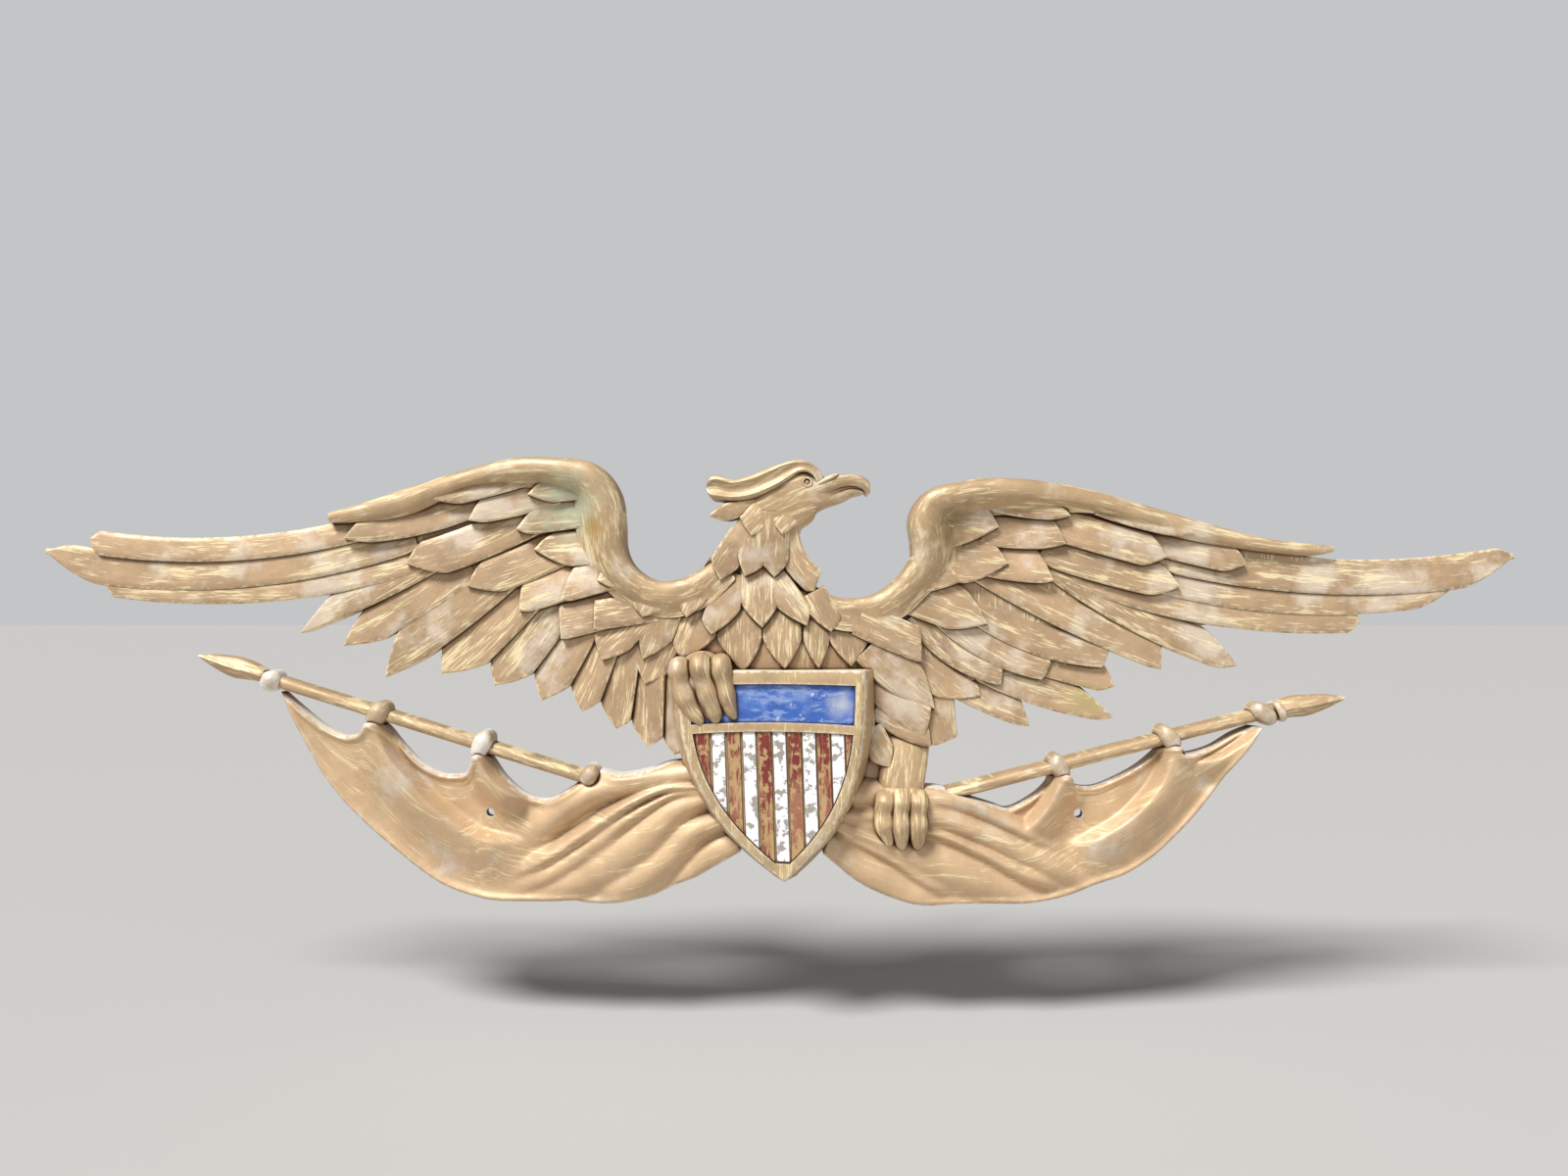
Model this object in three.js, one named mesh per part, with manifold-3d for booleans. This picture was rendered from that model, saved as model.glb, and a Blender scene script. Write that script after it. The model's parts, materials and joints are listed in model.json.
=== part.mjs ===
// Eagle wall plaque: one painted aluminium casting with a flat back. The eagle spreads its wings over
// a striped shield, and its claws hold two staffs with gathered flags.
//
// Millimetres. x runs to the right as the plaque hangs and z up. The back lies in the plane y = 0 and
// the relief stands towards -y. Every form is a closed body that runs straight to the back, and where
// forms overlap the highest one shows, as on a carved pattern for a casting.

import * as THREE from 'three';
import Module from 'manifold-3d';

const wasm = await Module();
wasm.setup();

// Heights off the wall
const TIP_HEIGHT = 4.5;
const SHOULDER_HEIGHT = 11;
const HALF_SPAN = 345;
const BREAST = { x: 2, z: 14, reach: 40, drop: 46, rise: 8 };
const INNER_DISH = { x: 104, z: 72, reach: 24, depth: 3.5 };
const OVERRUN = 5;
const DEPTH_LIMIT = 60;

// Screw holes through the flags
const SCREW_HOLE = { radius: 2.1, sides: 16 };
const SCREW_PLACES = [[-137.5, -59], [138, -59.7]];

// How finely each kind of form is stepped
const FEATHER_STEPS = 2;
const ROLL_ACROSS = 4;
const SMALLEST_STEP = 0.16;

// Height of the ground that the feathers lie on: thin at the wing tips, dished behind each arm and
// full at the breast.
function groundHeight(x, z) {
  const out = Math.min(1, Math.abs(x) / HALF_SPAN);
  const wing = TIP_HEIGHT + (SHOULDER_HEIGHT - TIP_HEIGHT) * (1 - out) ** 1.3;
  const breast = Math.hypot((x - BREAST.x) / BREAST.reach, (z - BREAST.z) / BREAST.drop);
  const dish = Math.hypot(Math.abs(x) - INNER_DISH.x, z - INNER_DISH.z) / INNER_DISH.reach;
  return wing + BREAST.rise * Math.exp(-(breast ** 2)) - INNER_DISH.depth * Math.exp(-(dish ** 2));
}

// Catmull-Rom value at t from 0 to 1 through knots of any number of values each
function along(knots, t) {
  const spans = knots.length - 1;
  const i = Math.min(spans - 1, Math.floor(t * spans));
  const f = t * spans - i;
  const pick = (k) => knots[Math.max(0, Math.min(spans, k))];
  return knots[0].map((unused, c) => {
    const [a, b, d, e] = [pick(i - 1)[c], pick(i)[c], pick(i + 1)[c], pick(i + 2)[c]];
    const bend = 2 * a - 5 * b + 4 * d - e;
    const twist = -a + 3 * b - 3 * d + e;
    return 0.5 * (2 * b + (d - a) * f + bend * f * f + twist * f * f * f);
  });
}

// A closed body from rows of [x, z, height] points: the rows are its front, and its walls run to
// behind the back plane.
function reliefBody(rows) {
  const across = rows[0].length;
  const count = rows.length * across;
  const positions = new Float32Array(count * 6);
  rows.flat().forEach(([x, z, height], i) => {
    positions.set([x, -height, z], i * 3);
    positions.set([x, OVERRUN, z], (count + i) * 3);
  });
  const index = [];
  const quad = (a, b, c, d) => index.push(a, b, c, a, c, d);
  for (let i = 0; i + 1 < rows.length; i += 1) {
    for (let j = 0; j + 1 < across; j += 1) {
      const a = i * across + j;
      const b = a + across;
      quad(a, b, b + 1, a + 1);
      quad(count + a, count + a + 1, count + b + 1, count + b);
    }
  }
  const rim = [];
  for (let j = 0; j < across; j += 1) rim.push(j);
  for (let i = 1; i < rows.length; i += 1) rim.push(i * across + across - 1);
  for (let j = across - 2; j >= 0; j -= 1) rim.push((rows.length - 1) * across + j);
  for (let i = rows.length - 2; i > 0; i -= 1) rim.push(i * across);
  rim.forEach((a, k) => {
    const b = rim[(k + 1) % rim.length];
    quad(a, b, count + b, count + a);
  });
  return solidFrom(positions, new Uint32Array(index));
}

// A solid from closed triangles, turned inside out where they face inwards
function solidFrom(positions, index) {
  const corner = (i) => new THREE.Vector3().fromArray(positions, index[i] * 3);
  let volume = 0;
  for (let i = 0; i < index.length; i += 3) {
    volume += corner(i).dot(corner(i + 1).cross(corner(i + 2)));
  }
  if (volume < 0) index.reverse();
  return new wasm.Manifold(new wasm.Mesh({ numProp: 3, vertProperties: positions, triVerts: index }));
}

// A feather lies on the ground. Its values are the tip's x and z, the heading of its middle line in
// degrees, length, width, where its point lies from one edge (-1) to the other (1), the length of the
// cut on either side of the point, and how far the middle line sags towards the side of 1.
function feather(row, values) {
  const [tipX, tipZ, heading, length, width, point, cutA, cutB, sag] = values;
  const turn = THREE.MathUtils.degToRad(heading);
  const ahead = [Math.cos(turn), Math.sin(turn)];
  const aside = [-ahead[1] * row.side, ahead[0] * row.side];
  const normalAt = (u) => {
    const slope = (4 * sag * (1 - 2 * u)) / length;
    const size = Math.hypot(1, slope);
    return [(aside[0] - ahead[0] * slope) / size, (aside[1] - ahead[1] * slope) / size];
  };
  const half = width / 2;
  const end = normalAt(1).map((n, i) => [tipX, tipZ][i] - n * point * half);
  const root = end.map((value, i) => value - ahead[i] * length);
  const shoulderA = 1 - cutA / length;
  const shoulderB = 1 - cutB / length;
  const taper = (u, shoulder) => Math.max(0, (u - shoulder) / (1 - shoulder)) ** row.round;
  const place = (u, v) => {
    const normal = normalAt(u);
    const drop = 4 * sag * u * (1 - u);
    const [x, z] = [0, 1].map((i) => root[i] + ahead[i] * length * u + aside[i] * drop + normal[i] * v * half);
    const rise = row.lift + row.tilt * v + row.crown * (1 - v * v);
    return [x, z, (row.level ?? groundHeight(x, z)) + rise];
  };
  return reliefBody(stations(shoulderA, shoulderB, row.steps ?? FEATHER_STEPS).map((u) => {
    const low = -1 + (point + 1) * taper(u, shoulderA) - (u === 1 ? 0.04 : 0);
    const high = 1 - (1 - point) * taper(u, shoulderB) + (u === 1 ? 0.04 : 0);
    return row.across.map((t) => place(u, low + (high - low) * t));
  }));
}

// Steps along a feather, with one at each shoulder of its point and one half way to the tip
function stations(shoulderA, shoulderB, steps) {
  const first = Math.min(shoulderA, shoulderB);
  const list = [shoulderA, shoulderB, (1 + Math.max(shoulderA, shoulderB)) / 2, 1];
  for (let i = 0; i < steps; i += 1) list.push((first * i) / steps);
  list.sort((a, b) => a - b);
  return list.filter((u, i) => i === 0 || u - list[i - 1] > 0.004);
}

// A roll through knots of [x, z, half width, height]. It stands `bulge` half widths above its edges,
// and hollow presses its middle in.
function roll(knots, { steps = 10, across = ROLL_ACROSS, bulge = 0.6, hollow = 0 } = {}) {
  const rows = [];
  for (let i = 0; i <= steps; i += 1) {
    const t = i / steps;
    const [x, z, half, height] = along(knots, t);
    const [x0, z0] = along(knots, Math.max(0, t - 0.01));
    const [x1, z1] = along(knots, Math.min(1, t + 0.01));
    const size = Math.hypot(x1 - x0, z1 - z0);
    const row = [];
    for (let j = 0; j <= across; j += 1) {
      const v = -Math.cos((Math.PI * j) / across);
      const fall = bulge * half * (1 - Math.sqrt(Math.max(0, 1 - v * v)));
      const press = hollow * half * Math.max(0, 1 - (v / 0.6) ** 2);
      row.push([x - ((z1 - z0) / size) * half * v, z + ((x1 - x0) / size) * half * v, height - fall - press]);
    }
    rows.push(row);
  }
  return reliefBody(rows);
}

// A sheet between two edges, each a list of [x, z] knots. height(u, v) is its height, with u along
// the edges and v from the first edge to the second.
function sheet(edgeA, edgeB, height, { steps = 10, across = [0, 0.15, 0.5, 0.85, 1] } = {}) {
  const rows = [];
  for (let i = 0; i <= steps; i += 1) {
    const u = i / steps;
    const [ax, az] = along(edgeA, u);
    const [bx, bz] = along(edgeB, u);
    rows.push(across.map((v) => [ax + (bx - ax) * v, az + (bz - az) * v, height(u, v)]));
  }
  return reliefBody(rows);
}

// Joins a list of solids
function joined(solids) {
  return solids.reduce((whole, solid) => whole.add(solid));
}

// Feather rows, lowest first. side says on which hand of the heading the overlapping edge lies.
const FLAT = [0, 1];
const CROWNED = [0, 0.5, 1];
const FLIGHT = { lift: 0, tilt: 1.8, crown: 0, round: 1.25, across: FLAT };
const FIRST_COVERTS = { lift: 2.4, tilt: 1.6, crown: 0, round: 1.25, across: FLAT };
const SECOND_COVERTS = { ...FIRST_COVERTS, lift: 4.2, steps: 1 };
const THIRD_COVERTS = { ...FIRST_COVERTS, lift: 5.8, steps: 1 };
const BREAST_FEATHERS = { lift: 1.6, tilt: 0, crown: 0.9, round: 1.3, across: CROWNED, steps: 1 };

const FEATHER_ROWS = [
  // Left wing: primaries, then secondaries from the outside in
  { ...FLIGHT, side: 1, steps: 5, feathers: [
    [-320, 49.5, 184.9, 157, 14, 0, 6, 8, 9.8],
    [-347.5, 63.5, 183.8, 175, 17, -0.4, 12, 28, 11.8],
    [-326, 69, 183.4, 136, 11.5, -0.2, 4, 6, 7.4],
  ] },
  { ...FLIGHT, side: 1, feathers: [
    [-226, 25, 205, 72, 16, 0.9, 30, 3, 1.5],
    [-206, 19, 211, 70, 17, 0.3, 17, 19, 1.5],
    [-160, 6, 226, 72, 22, 0, 12, 20, 1.5],
    [-135, 0.5, 234, 68, 20, 0, 9, 16, 1.5],
    [-113, -6.5, 242, 62, 18.5, 0.15, 11, 14, 1],
    [-94, -11.5, 251, 58, 16, 0.25, 10, 8, 1],
    [-78, -19.5, 262, 52, 15.5, 0.25, 12, 5, 0.5],
    [-63.5, -28, 268, 50, 15, 0.05, 12, 5, 0],
    [-51, -31.5, 271, 45, 12, -0.1, 9, 3, 0],
  ] },
  { ...FLIGHT, side: 1, lift: 0.9, feathers: [
    [-186, 4.5, 217, 78, 23, 0.75, 26, 22, 2],
  ] },
  // Left wing coverts
  { ...FIRST_COVERTS, side: 1, feathers: [
    [-205, 69, 193, 69, 14, 0.7, 11, 12, 4],
    [-176, 57.5, 202, 66, 18, -0.1, 10, 18, 2],
    [-147.5, 47, 203, 58, 18, 0.1, 12, 17, 1.5],
    [-123, 35.5, 199, 45, 17, 0.8, 6, 5, 1],
    [-103.5, 22.5, 194, 34, 17, 0.9, 3, 3, 0],
    [-84.5, 12.5, 225, 36, 18, 0.37, 7, 13, 0],
  ] },
  { ...SECOND_COVERTS, side: 1, feathers: [
    [-146.5, 77.5, 193, 42, 14, 0.7, 10, 8, 1],
    [-124.5, 73.5, 188, 38, 15, 0.6, 14, 6, 0.5],
    [-116.5, 64, 185, 34, 17, -0.1, 10, 17, 0],
    [-104, 40, 195, 34, 18, 0.85, 14, 6, 0],
    [-88, 27, 188, 30, 14, 0.9, 2, 3, 0],
  ] },
  { ...THIRD_COVERTS, side: 1, feathers: [
    [-167, 88.5, 194, 50, 13, 0, 14, 17, 1],
    [-119, 89.5, 186, 27, 15, 0.35, 15, 12, 0],
    [-86.5, 49.5, 195, 14, 16, 0.1, 8, 10, 0],
  ] },
  // Right wing: lowest layer, secondaries and primaries
  { ...FLIGHT, side: -1, lift: -1.2, feathers: [
    [154.5, 0, 345, 40, 14, 0.4, 9, 8, 0],
    [154, -14.5, 343, 64, 18, 0.75, 28, 8, 3],
    [114.5, -18.5, 336, 44, 14, 0.8, 10, 8, 1.5],
  ] },
  { ...FLIGHT, side: -1, steps: 5, feathers: [
    [269.5, 30.5, 349.8, 147, 15, 0.3, 3, 6, 9],
    [316.3, 48, 357.4, 151, 14, -0.2, 3, 22, 9.5],
    [343.3, 61, 358, 173, 16.5, -0.4, 7, 28, 9.5],
  ] },
  { ...FLIGHT, side: -1, feathers: [
    [212, 9.7, 332.5, 100, 16, 0.5, 22, 9, 4.5],
    [176, 8, 334, 100, 16, 0.9, 6, 4, 2.5],
    [151.5, 15.5, 341, 66, 16, 0.15, 2, 3, 5],
    [124.5, 11, 333, 56, 17, 0, 2, 3, 4.5],
    [101, 1.3, 326, 48, 15, 0.9, 1, 2, 5],
    [92, -4.5, 322, 40, 18, -0.6, 5, 20, 0],
  ] },
  // Right wing coverts
  { ...FIRST_COVERTS, side: -1, feathers: [
    [215.5, 57, 347, 46, 13, 0.2, 7, 11, 0.5],
    [184.5, 46.5, 345, 66, 16, 0.2, 12, 14, 1.5],
    [125.5, 49.5, 352, 40, 17, 0.85, 9, 5, 1.5],
    [94.5, 29.5, 340, 40, 22, 0.2, 19, 18, 0],
  ] },
  { ...SECOND_COVERTS, side: -1, feathers: [
    [178, 60.5, 344, 58, 16, 0.15, 11, 11, 0.5],
    [131, 66.5, 358, 38, 15, 0.75, 6, 12, 1],
    [104.5, 57.5, 355, 34, 22, 0, 11, 20, 0],
    [82, 49, 350, 18.5, 18, 0.1, 12, 18, 0],
  ] },
  { ...THIRD_COVERTS, side: -1, feathers: [
    [190.5, 72, 346, 48, 12, 0.5, 8, 14, 1.5],
    [133, 79.5, 352, 40, 14, 0.7, 14, 10, 1.5],
    [100, 74.5, 355, 34, 24, 0, 10, 24, 0],
  ] },
  // Breast, shoulders and flanks
  { ...BREAST_FEATHERS, side: 1, lift: 0.3, feathers: [
    [-64.5, 1.5, 245, 34, 20, 0.2, 12, 10, 0],
    [-47, 12, 252, 30, 20, -0.1, 10, 16, 0],
    [-18.5, 7, 270, 30, 21, 0.2, 17, 16, 0],
    [0.5, 8.7, 270, 28, 18, 0.15, 15, 15, 0],
    [16, 8.7, 268, 28, 12.5, 0.25, 15, 15, 0],
    [31, 9.7, 275, 28, 20, -0.05, 15, 14, 0],
    [70, -27, 272, 36, 19, 0, 1, 1, 0],
    [48, -36, 290, 22, 13, 0, 8, 8, 0],
    [41, -24, 272, 34, 7, 0.6, 14, 3, 0],
  ] },
  { ...BREAST_FEATHERS, side: -1, lift: 0.6, feathers: [
    [65, -22.3, 322, 36, 15, 0.4, 7, 16, 1],
  ] },
  { ...BREAST_FEATHERS, side: -1, lift: 1.6, feathers: [
    [70, -10, 318, 42, 20, 0.2, 20, 26, 1],
  ] },
  { ...BREAST_FEATHERS, side: -1, lift: 2.6, feathers: [
    [63.5, 12, 337, 34, 16, 0.9, 7, 2, 0.5],
  ] },
  { ...BREAST_FEATHERS, side: 1, lift: 2.0, feathers: [
    [-65.5, 13, 250, 30, 17, -0.2, 14, 14, 0],
    [-33.5, 24.5, 255, 30, 16, -0.24, 6, 15, 0],
    [-10, 28, 272, 28, 17, 0.1, 12, 11, 0],
    [10.5, 28.7, 305, 28, 13, 0, 16, 7, 0],
    [21.5, 26, 298, 20, 13, -0.15, 14, 4, 0],
    [38.5, 22.7, 303, 16.5, 15, -0.25, 15, 4, 0],
  ] },
  { ...BREAST_FEATHERS, side: 1, lift: 3.4, feathers: [
    [-65.5, 32.5, 235, 15.5, 16, 0, 3, 14, 0],
    [-45, 32.5, 248, 18, 14, -0.1, 5, 16, 0],
    [-29, 50, 238, 14, 12, 0.45, 5, 12, 0],
    [-18, 52.5, 258, 28, 12, 0, 7, 6, 0],
    [-4, 52, 283, 28, 11, 0.3, 9, 5, 0],
  ] },
  { ...BREAST_FEATHERS, side: 1, lift: 3.4, steps: 4, feathers: [
    [13, 44.8, 297, 31, 8, -0.7, 3, 2, -5.5],
  ] },
  // Head
  { ...BREAST_FEATHERS, side: 1, level: 17, lift: 0, feathers: [
    [-34.5, 79.5, 195, 32, 8.5, 0.2, 10, 9, 1.5],
    [-15, 70.3, 225, 26, 12, 0.55, 1, 9, 0],
    [-1, 71, 230, 22, 11, 0.4, 1, 10, 0],
  ] },
];

// Grounds that fill under the feathers: lower edge, upper edge, how far below the ground they lie
const GROUNDS = [
  // Left wing
  [[[-60, -18], [-95, 5], [-130, 20], [-165, 30], [-205, 50], [-300, 52]],
    [[-72, 44], [-88, 90], [-115, 98], [-150, 92], [-205, 76], [-300, 66]], 3],
  // Right wing
  [[[52, -12], [88, 3], [125, 8], [165, 22], [215, 32], [290, 46]],
    [[62, 44], [74, 80], [98, 89], [140, 84], [205, 68], [290, 60]], 3],
  // Breast, from the left flank to the right
  [[[-66, -10], [-40, -12], [-10, -20], [20, -25], [45, -30], [66, -22]],
    [[-66, 44], [-44, 44], [-20, 54], [10, 44], [40, 36], [58, 44]], 2.5],
];

// Rolls of [x, z, half width, height]
const ARMS = [
  [[-70, 47, 4, 15], [-76, 54, 6, 16], [-80, 64, 6.5, 17], [-81, 76, 7, 17.5], [-83.5, 88, 7.5, 17.5],
    [-91, 97, 7.5, 17], [-104, 100.5, 6, 16], [-124, 101, 5.5, 15], [-148, 95.5, 5.2, 13.5],
    [-178, 85.3, 6.2, 12], [-198, 80.8, 4.2, 10.5], [-213, 78.8, 2.3, 9]],
  [[58, 44, 5, 15], [64, 54, 5.5, 16], [66.5, 65, 7, 17], [65.5, 76, 7.5, 17.5], [70, 85, 7, 17.5],
    [80, 88.5, 6.3, 17], [96, 91, 6, 16], [118, 90, 5.8, 15], [142, 86, 5.5, 13.5],
    [170, 78.5, 5.3, 12], [196, 71.7, 4.9, 10.5], [220, 66.8, 3.4, 9.5], [245, 63.8, 2.8, 8.5],
    [257, 64.5, 1.5, 8]],
];
const SHOULDERS = [
  [[-74, 53, 4, 14], [-66, 47, 5, 14.5], [-57, 43.5, 5.5, 15], [-47, 44.5, 5.8, 15.5],
    [-38, 48.5, 5.5, 16], [-30, 54, 5, 16]],
  [[12, 42, 4, 16], [22, 37.5, 4.8, 15.5], [32, 36, 5.2, 15], [42, 37.5, 5.2, 15], [51, 42, 5.5, 15],
    [59, 49, 5.5, 15.5]],
];
const NECK = {
  left: [[-20, 82], [-22, 76], [-27, 69], [-34, 60.5], [-38, 54], [-40, 44]],
  right: [[10, 80], [8.5, 74], [5.5, 65], [6.5, 57], [13, 49], [20, 40]],
  height: 18, round: 3,
};
const SKULL = [[-22, 81.5, 4, 15], [-12, 80.5, 8.5, 16.5], [-2, 83, 11.5, 17.5], [6, 86.5, 11.5, 18],
  [12, 89, 9.5, 18], [18, 90.5, 7.2, 17], [25, 91.7, 6.1, 15.5], [31, 93.3, 4.8, 15], [36, 93.3, 4, 14.5],
  [38.5, 91.3, 2, 13.5]];
const CREST = [[-35, 92.5, 1.5, 17], [-31.5, 92.6, 5.2, 18.5], [-24, 90.9, 4.8, 19], [-15, 92.4, 5.3, 19.5],
  [-5, 96.6, 5, 20], [0, 99.2, 4.3, 20], [6, 101.6, 3, 20], [11, 101.3, 2.4, 20], [14.6, 98.8, 2.1, 19.5],
  [16.3, 95.5, 1.8, 19], [16.5, 92.5, 1.2, 18.5]];
const UPPER_BEAK = [[12, 91, 4.5, 18.5], [20, 93.8, 3.9, 18.5], [26, 95.2, 2.9, 18], [32, 95.5, 2.6, 17.5],
  [36, 94.3, 2.7, 17], [38.2, 91.5, 1.6, 16], [38.9, 88.9, 0.5, 15]];
const LOWER_BEAK = [[8, 81.5, 2.2, 17], [14, 83.8, 2.2, 17], [20, 86.5, 2.2, 16.5], [26, 89, 1.9, 16],
  [32, 90.6, 1.5, 15.5], [37, 90.2, 0.8, 14.5]];
const EYE = { x: 10.5, z: 94.5, height: 18.6, radius: 2.5, pupil: 1.1, sides: 8 };

// Toes over the shield's corner and round the right-hand flag
const TOES = [
  [[-48, 12, 3, 26], [-47.5, 6, 4.5, 28.6], [-46.5, 0, 3.8, 27], [-43, -6, 4.2, 28.2], [-39.5, -11, 3, 26.5],
    [-36, -15.5, 1.6, 24.5]],
  [[-39.5, 15, 3, 26], [-38.5, 10, 4.8, 29.2], [-36.5, 3, 4, 27.6], [-34.5, -3, 4, 28.6], [-33, -9, 3.2, 27],
    [-33, -15.5, 1.8, 24.5]],
  [[-29, 14, 3, 26], [-29, 9, 4, 28.6], [-28, 2, 3.3, 27.4], [-27, -4, 3.6, 28.2], [-25.5, -9, 3, 27],
    [-22.8, -13, 1.2, 24.5]],
  [[47, -43, 3, 19], [46.5, -49, 4.3, 22.5], [45.5, -56, 3.6, 21], [45.5, -62, 4.2, 22], [47, -68, 3, 20],
    [48.5, -71.5, 1.2, 18]],
  [[54.5, -44, 3, 19], [54, -50, 3.9, 23], [53, -57, 3.3, 21.5], [53, -63, 4, 22.5], [53.5, -69, 3, 20.5],
    [54, -73.5, 1, 18]],
  [[61, -45, 3, 19], [61.5, -51, 4, 23], [61, -57.5, 3.3, 21.5], [61.5, -63, 4, 22.5], [61.5, -69, 2.8, 20.5],
    [61, -73.5, 1, 18]],
];
const LEG = [[56, -18, 14, 15], [55, -30, 13, 16], [54.5, -40, 12, 16.5], [54, -48, 11.5, 17]];

// Staffs with their spearheads, and the knots that lash the flags to them
const STAFFS = [
  [[-240, 3.2, 2.7, 8.5], [-88, -43.8, 2.7, 11]],
  [[230, -11.2, 3.1, 8.5], [66, -52.4, 3.1, 13]],
];
const SPEARHEADS = [
  [[-274, 14.5, 0.4, 6.5], [-266, 11.7, 3, 8], [-257, 8.8, 4.7, 9], [-250, 7, 4, 9], [-243, 4.5, 2.6, 8.5]],
  [[262.5, -5.3, 0.5, 6.5], [255, -6.8, 2.8, 8], [245, -9, 4.6, 9], [238, -9.8, 4.7, 9], [231, -11.6, 3.4, 8.5]],
];
const KNOTS = [
  [[-236.5, 7, 2, 9], [-238.5, 4, 4.5, 12], [-241, 0.5, 3.8, 11.5], [-242.5, -1.3, 2, 9]],
  [[-185.5, -7.5, 2.5, 9], [-188, -11, 4.5, 12.5], [-191, -15.5, 4, 12], [-192.5, -18.5, 2.5, 9]],
  [[-138, -20.5, 2, 10], [-139.5, -24.5, 4.3, 13.5], [-142, -30, 3.8, 13], [-143, -34, 2.2, 10]],
  [[-88, -36.5, 2.2, 12], [-89.5, -39.5, 3.6, 14.5], [-91, -43, 3.6, 14], [-92, -46, 2.5, 11]],
  [[229.5, -7.5, 1.8, 9], [231.5, -12, 2.4, 11], [233, -16.3, 1.6, 9]],
  [[217.5, -10, 2, 9], [221, -11, 3.9, 12], [225.5, -14, 4, 12], [227, -18, 2.4, 10]],
  [[174, -20, 2, 10], [177, -21.5, 3.8, 13], [181, -26, 3.8, 13], [182.5, -29.5, 2.2, 10]],
  [[123.5, -32.5, 2, 10], [126, -34.5, 3.8, 13], [129, -39, 4, 13], [131, -43.5, 2.6, 11]],
];

// Flag cloth: sheets of [outer edge, inner edge, heights across]
const CLOTH_ACROSS = [0, 0.12, 0.5, 0.88, 1];
const CLOTHS = [
  // Left flag: from the spearhead, then the folds that hang from the first and second knots
  [[[-235.5, -2.5], [-226, -24.5], [-210, -50.5], [-186, -74], [-158, -94], [-128, -101.2], [-104, -99.8]],
    [[-234, -3], [-218, -17], [-193, -19], [-175, -42], [-152, -64], [-124, -73], [-104, -74]],
    [8.5, 8, 6, 6, 6]],
  [[[-193, -17.5], [-184, -31], [-172, -45.5], [-155, -61.5], [-138, -71], [-116, -74]],
    [[-186.5, -18.5], [-176, -30.5], [-161, -41.5], [-146, -37], [-129, -49], [-110, -60]],
    [11.5, 11.5, 8.5, 8, 8.5]],
  [[[-143.5, -33], [-136, -42.5], [-125, -51.5], [-111, -60.5]],
    [[-138, -33], [-128, -45.5], [-112, -52.5], [-95, -44.5]],
    [11.5, 11.5, 9.5, 9, 9]],
  // Right flag
  [[[222.5, -19], [211, -36], [195, -59], [174, -79.5], [154, -91], [128, -98.5], [104, -101.3]],
    [[218, -19.5], [200, -28.5], [184, -31.5], [168, -53], [146, -70.5], [126, -76], [104, -78]],
    [8.5, 8, 6, 6, 6]],
  [[[183.5, -30], [178, -41], [166, -56], [148, -69], [128, -75.5]],
    [[176, -29], [158, -41.5], [139, -47], [131, -46], [114, -65]],
    [11, 11, 8.5, 8, 8.5]],
  [[[131, -44], [124, -53], [114, -65.5]],
    [[125, -43], [117, -51.5], [104, -57.5]],
    [11, 11, 9.5, 9, 9]],
  [[[222, -19.5], [209, -30.5], [196, -35.5], [184.5, -34.5]],
    [[217, -19], [206, -24.5], [193, -30.5], [184, -29.5]],
    [10, 10, 9, 8.5, 8.5]],
];

// Plain grounds under the gathered folds and beside the leg: lower edge, upper edge and height
const UNDERLAYS = [
  [[[-20, -74], [-40, -85.5], [-70, -97.5], [-100, -98.5], [-125, -98]],
    [[-40, -38], [-60, -40], [-84, -44], [-104, -56], [-118, -70]], 6.5],
  [[[17, -74], [35, -88], [65, -99], [100, -99.5], [130, -97]],
    [[34, -44], [66, -48], [88, -53], [110, -62], [128, -74]], 6.5],
  [[[32, -14], [32, -30], [32, -46]], [[64, -14], [64, -30], [64, -46]], 11],
];

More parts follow.
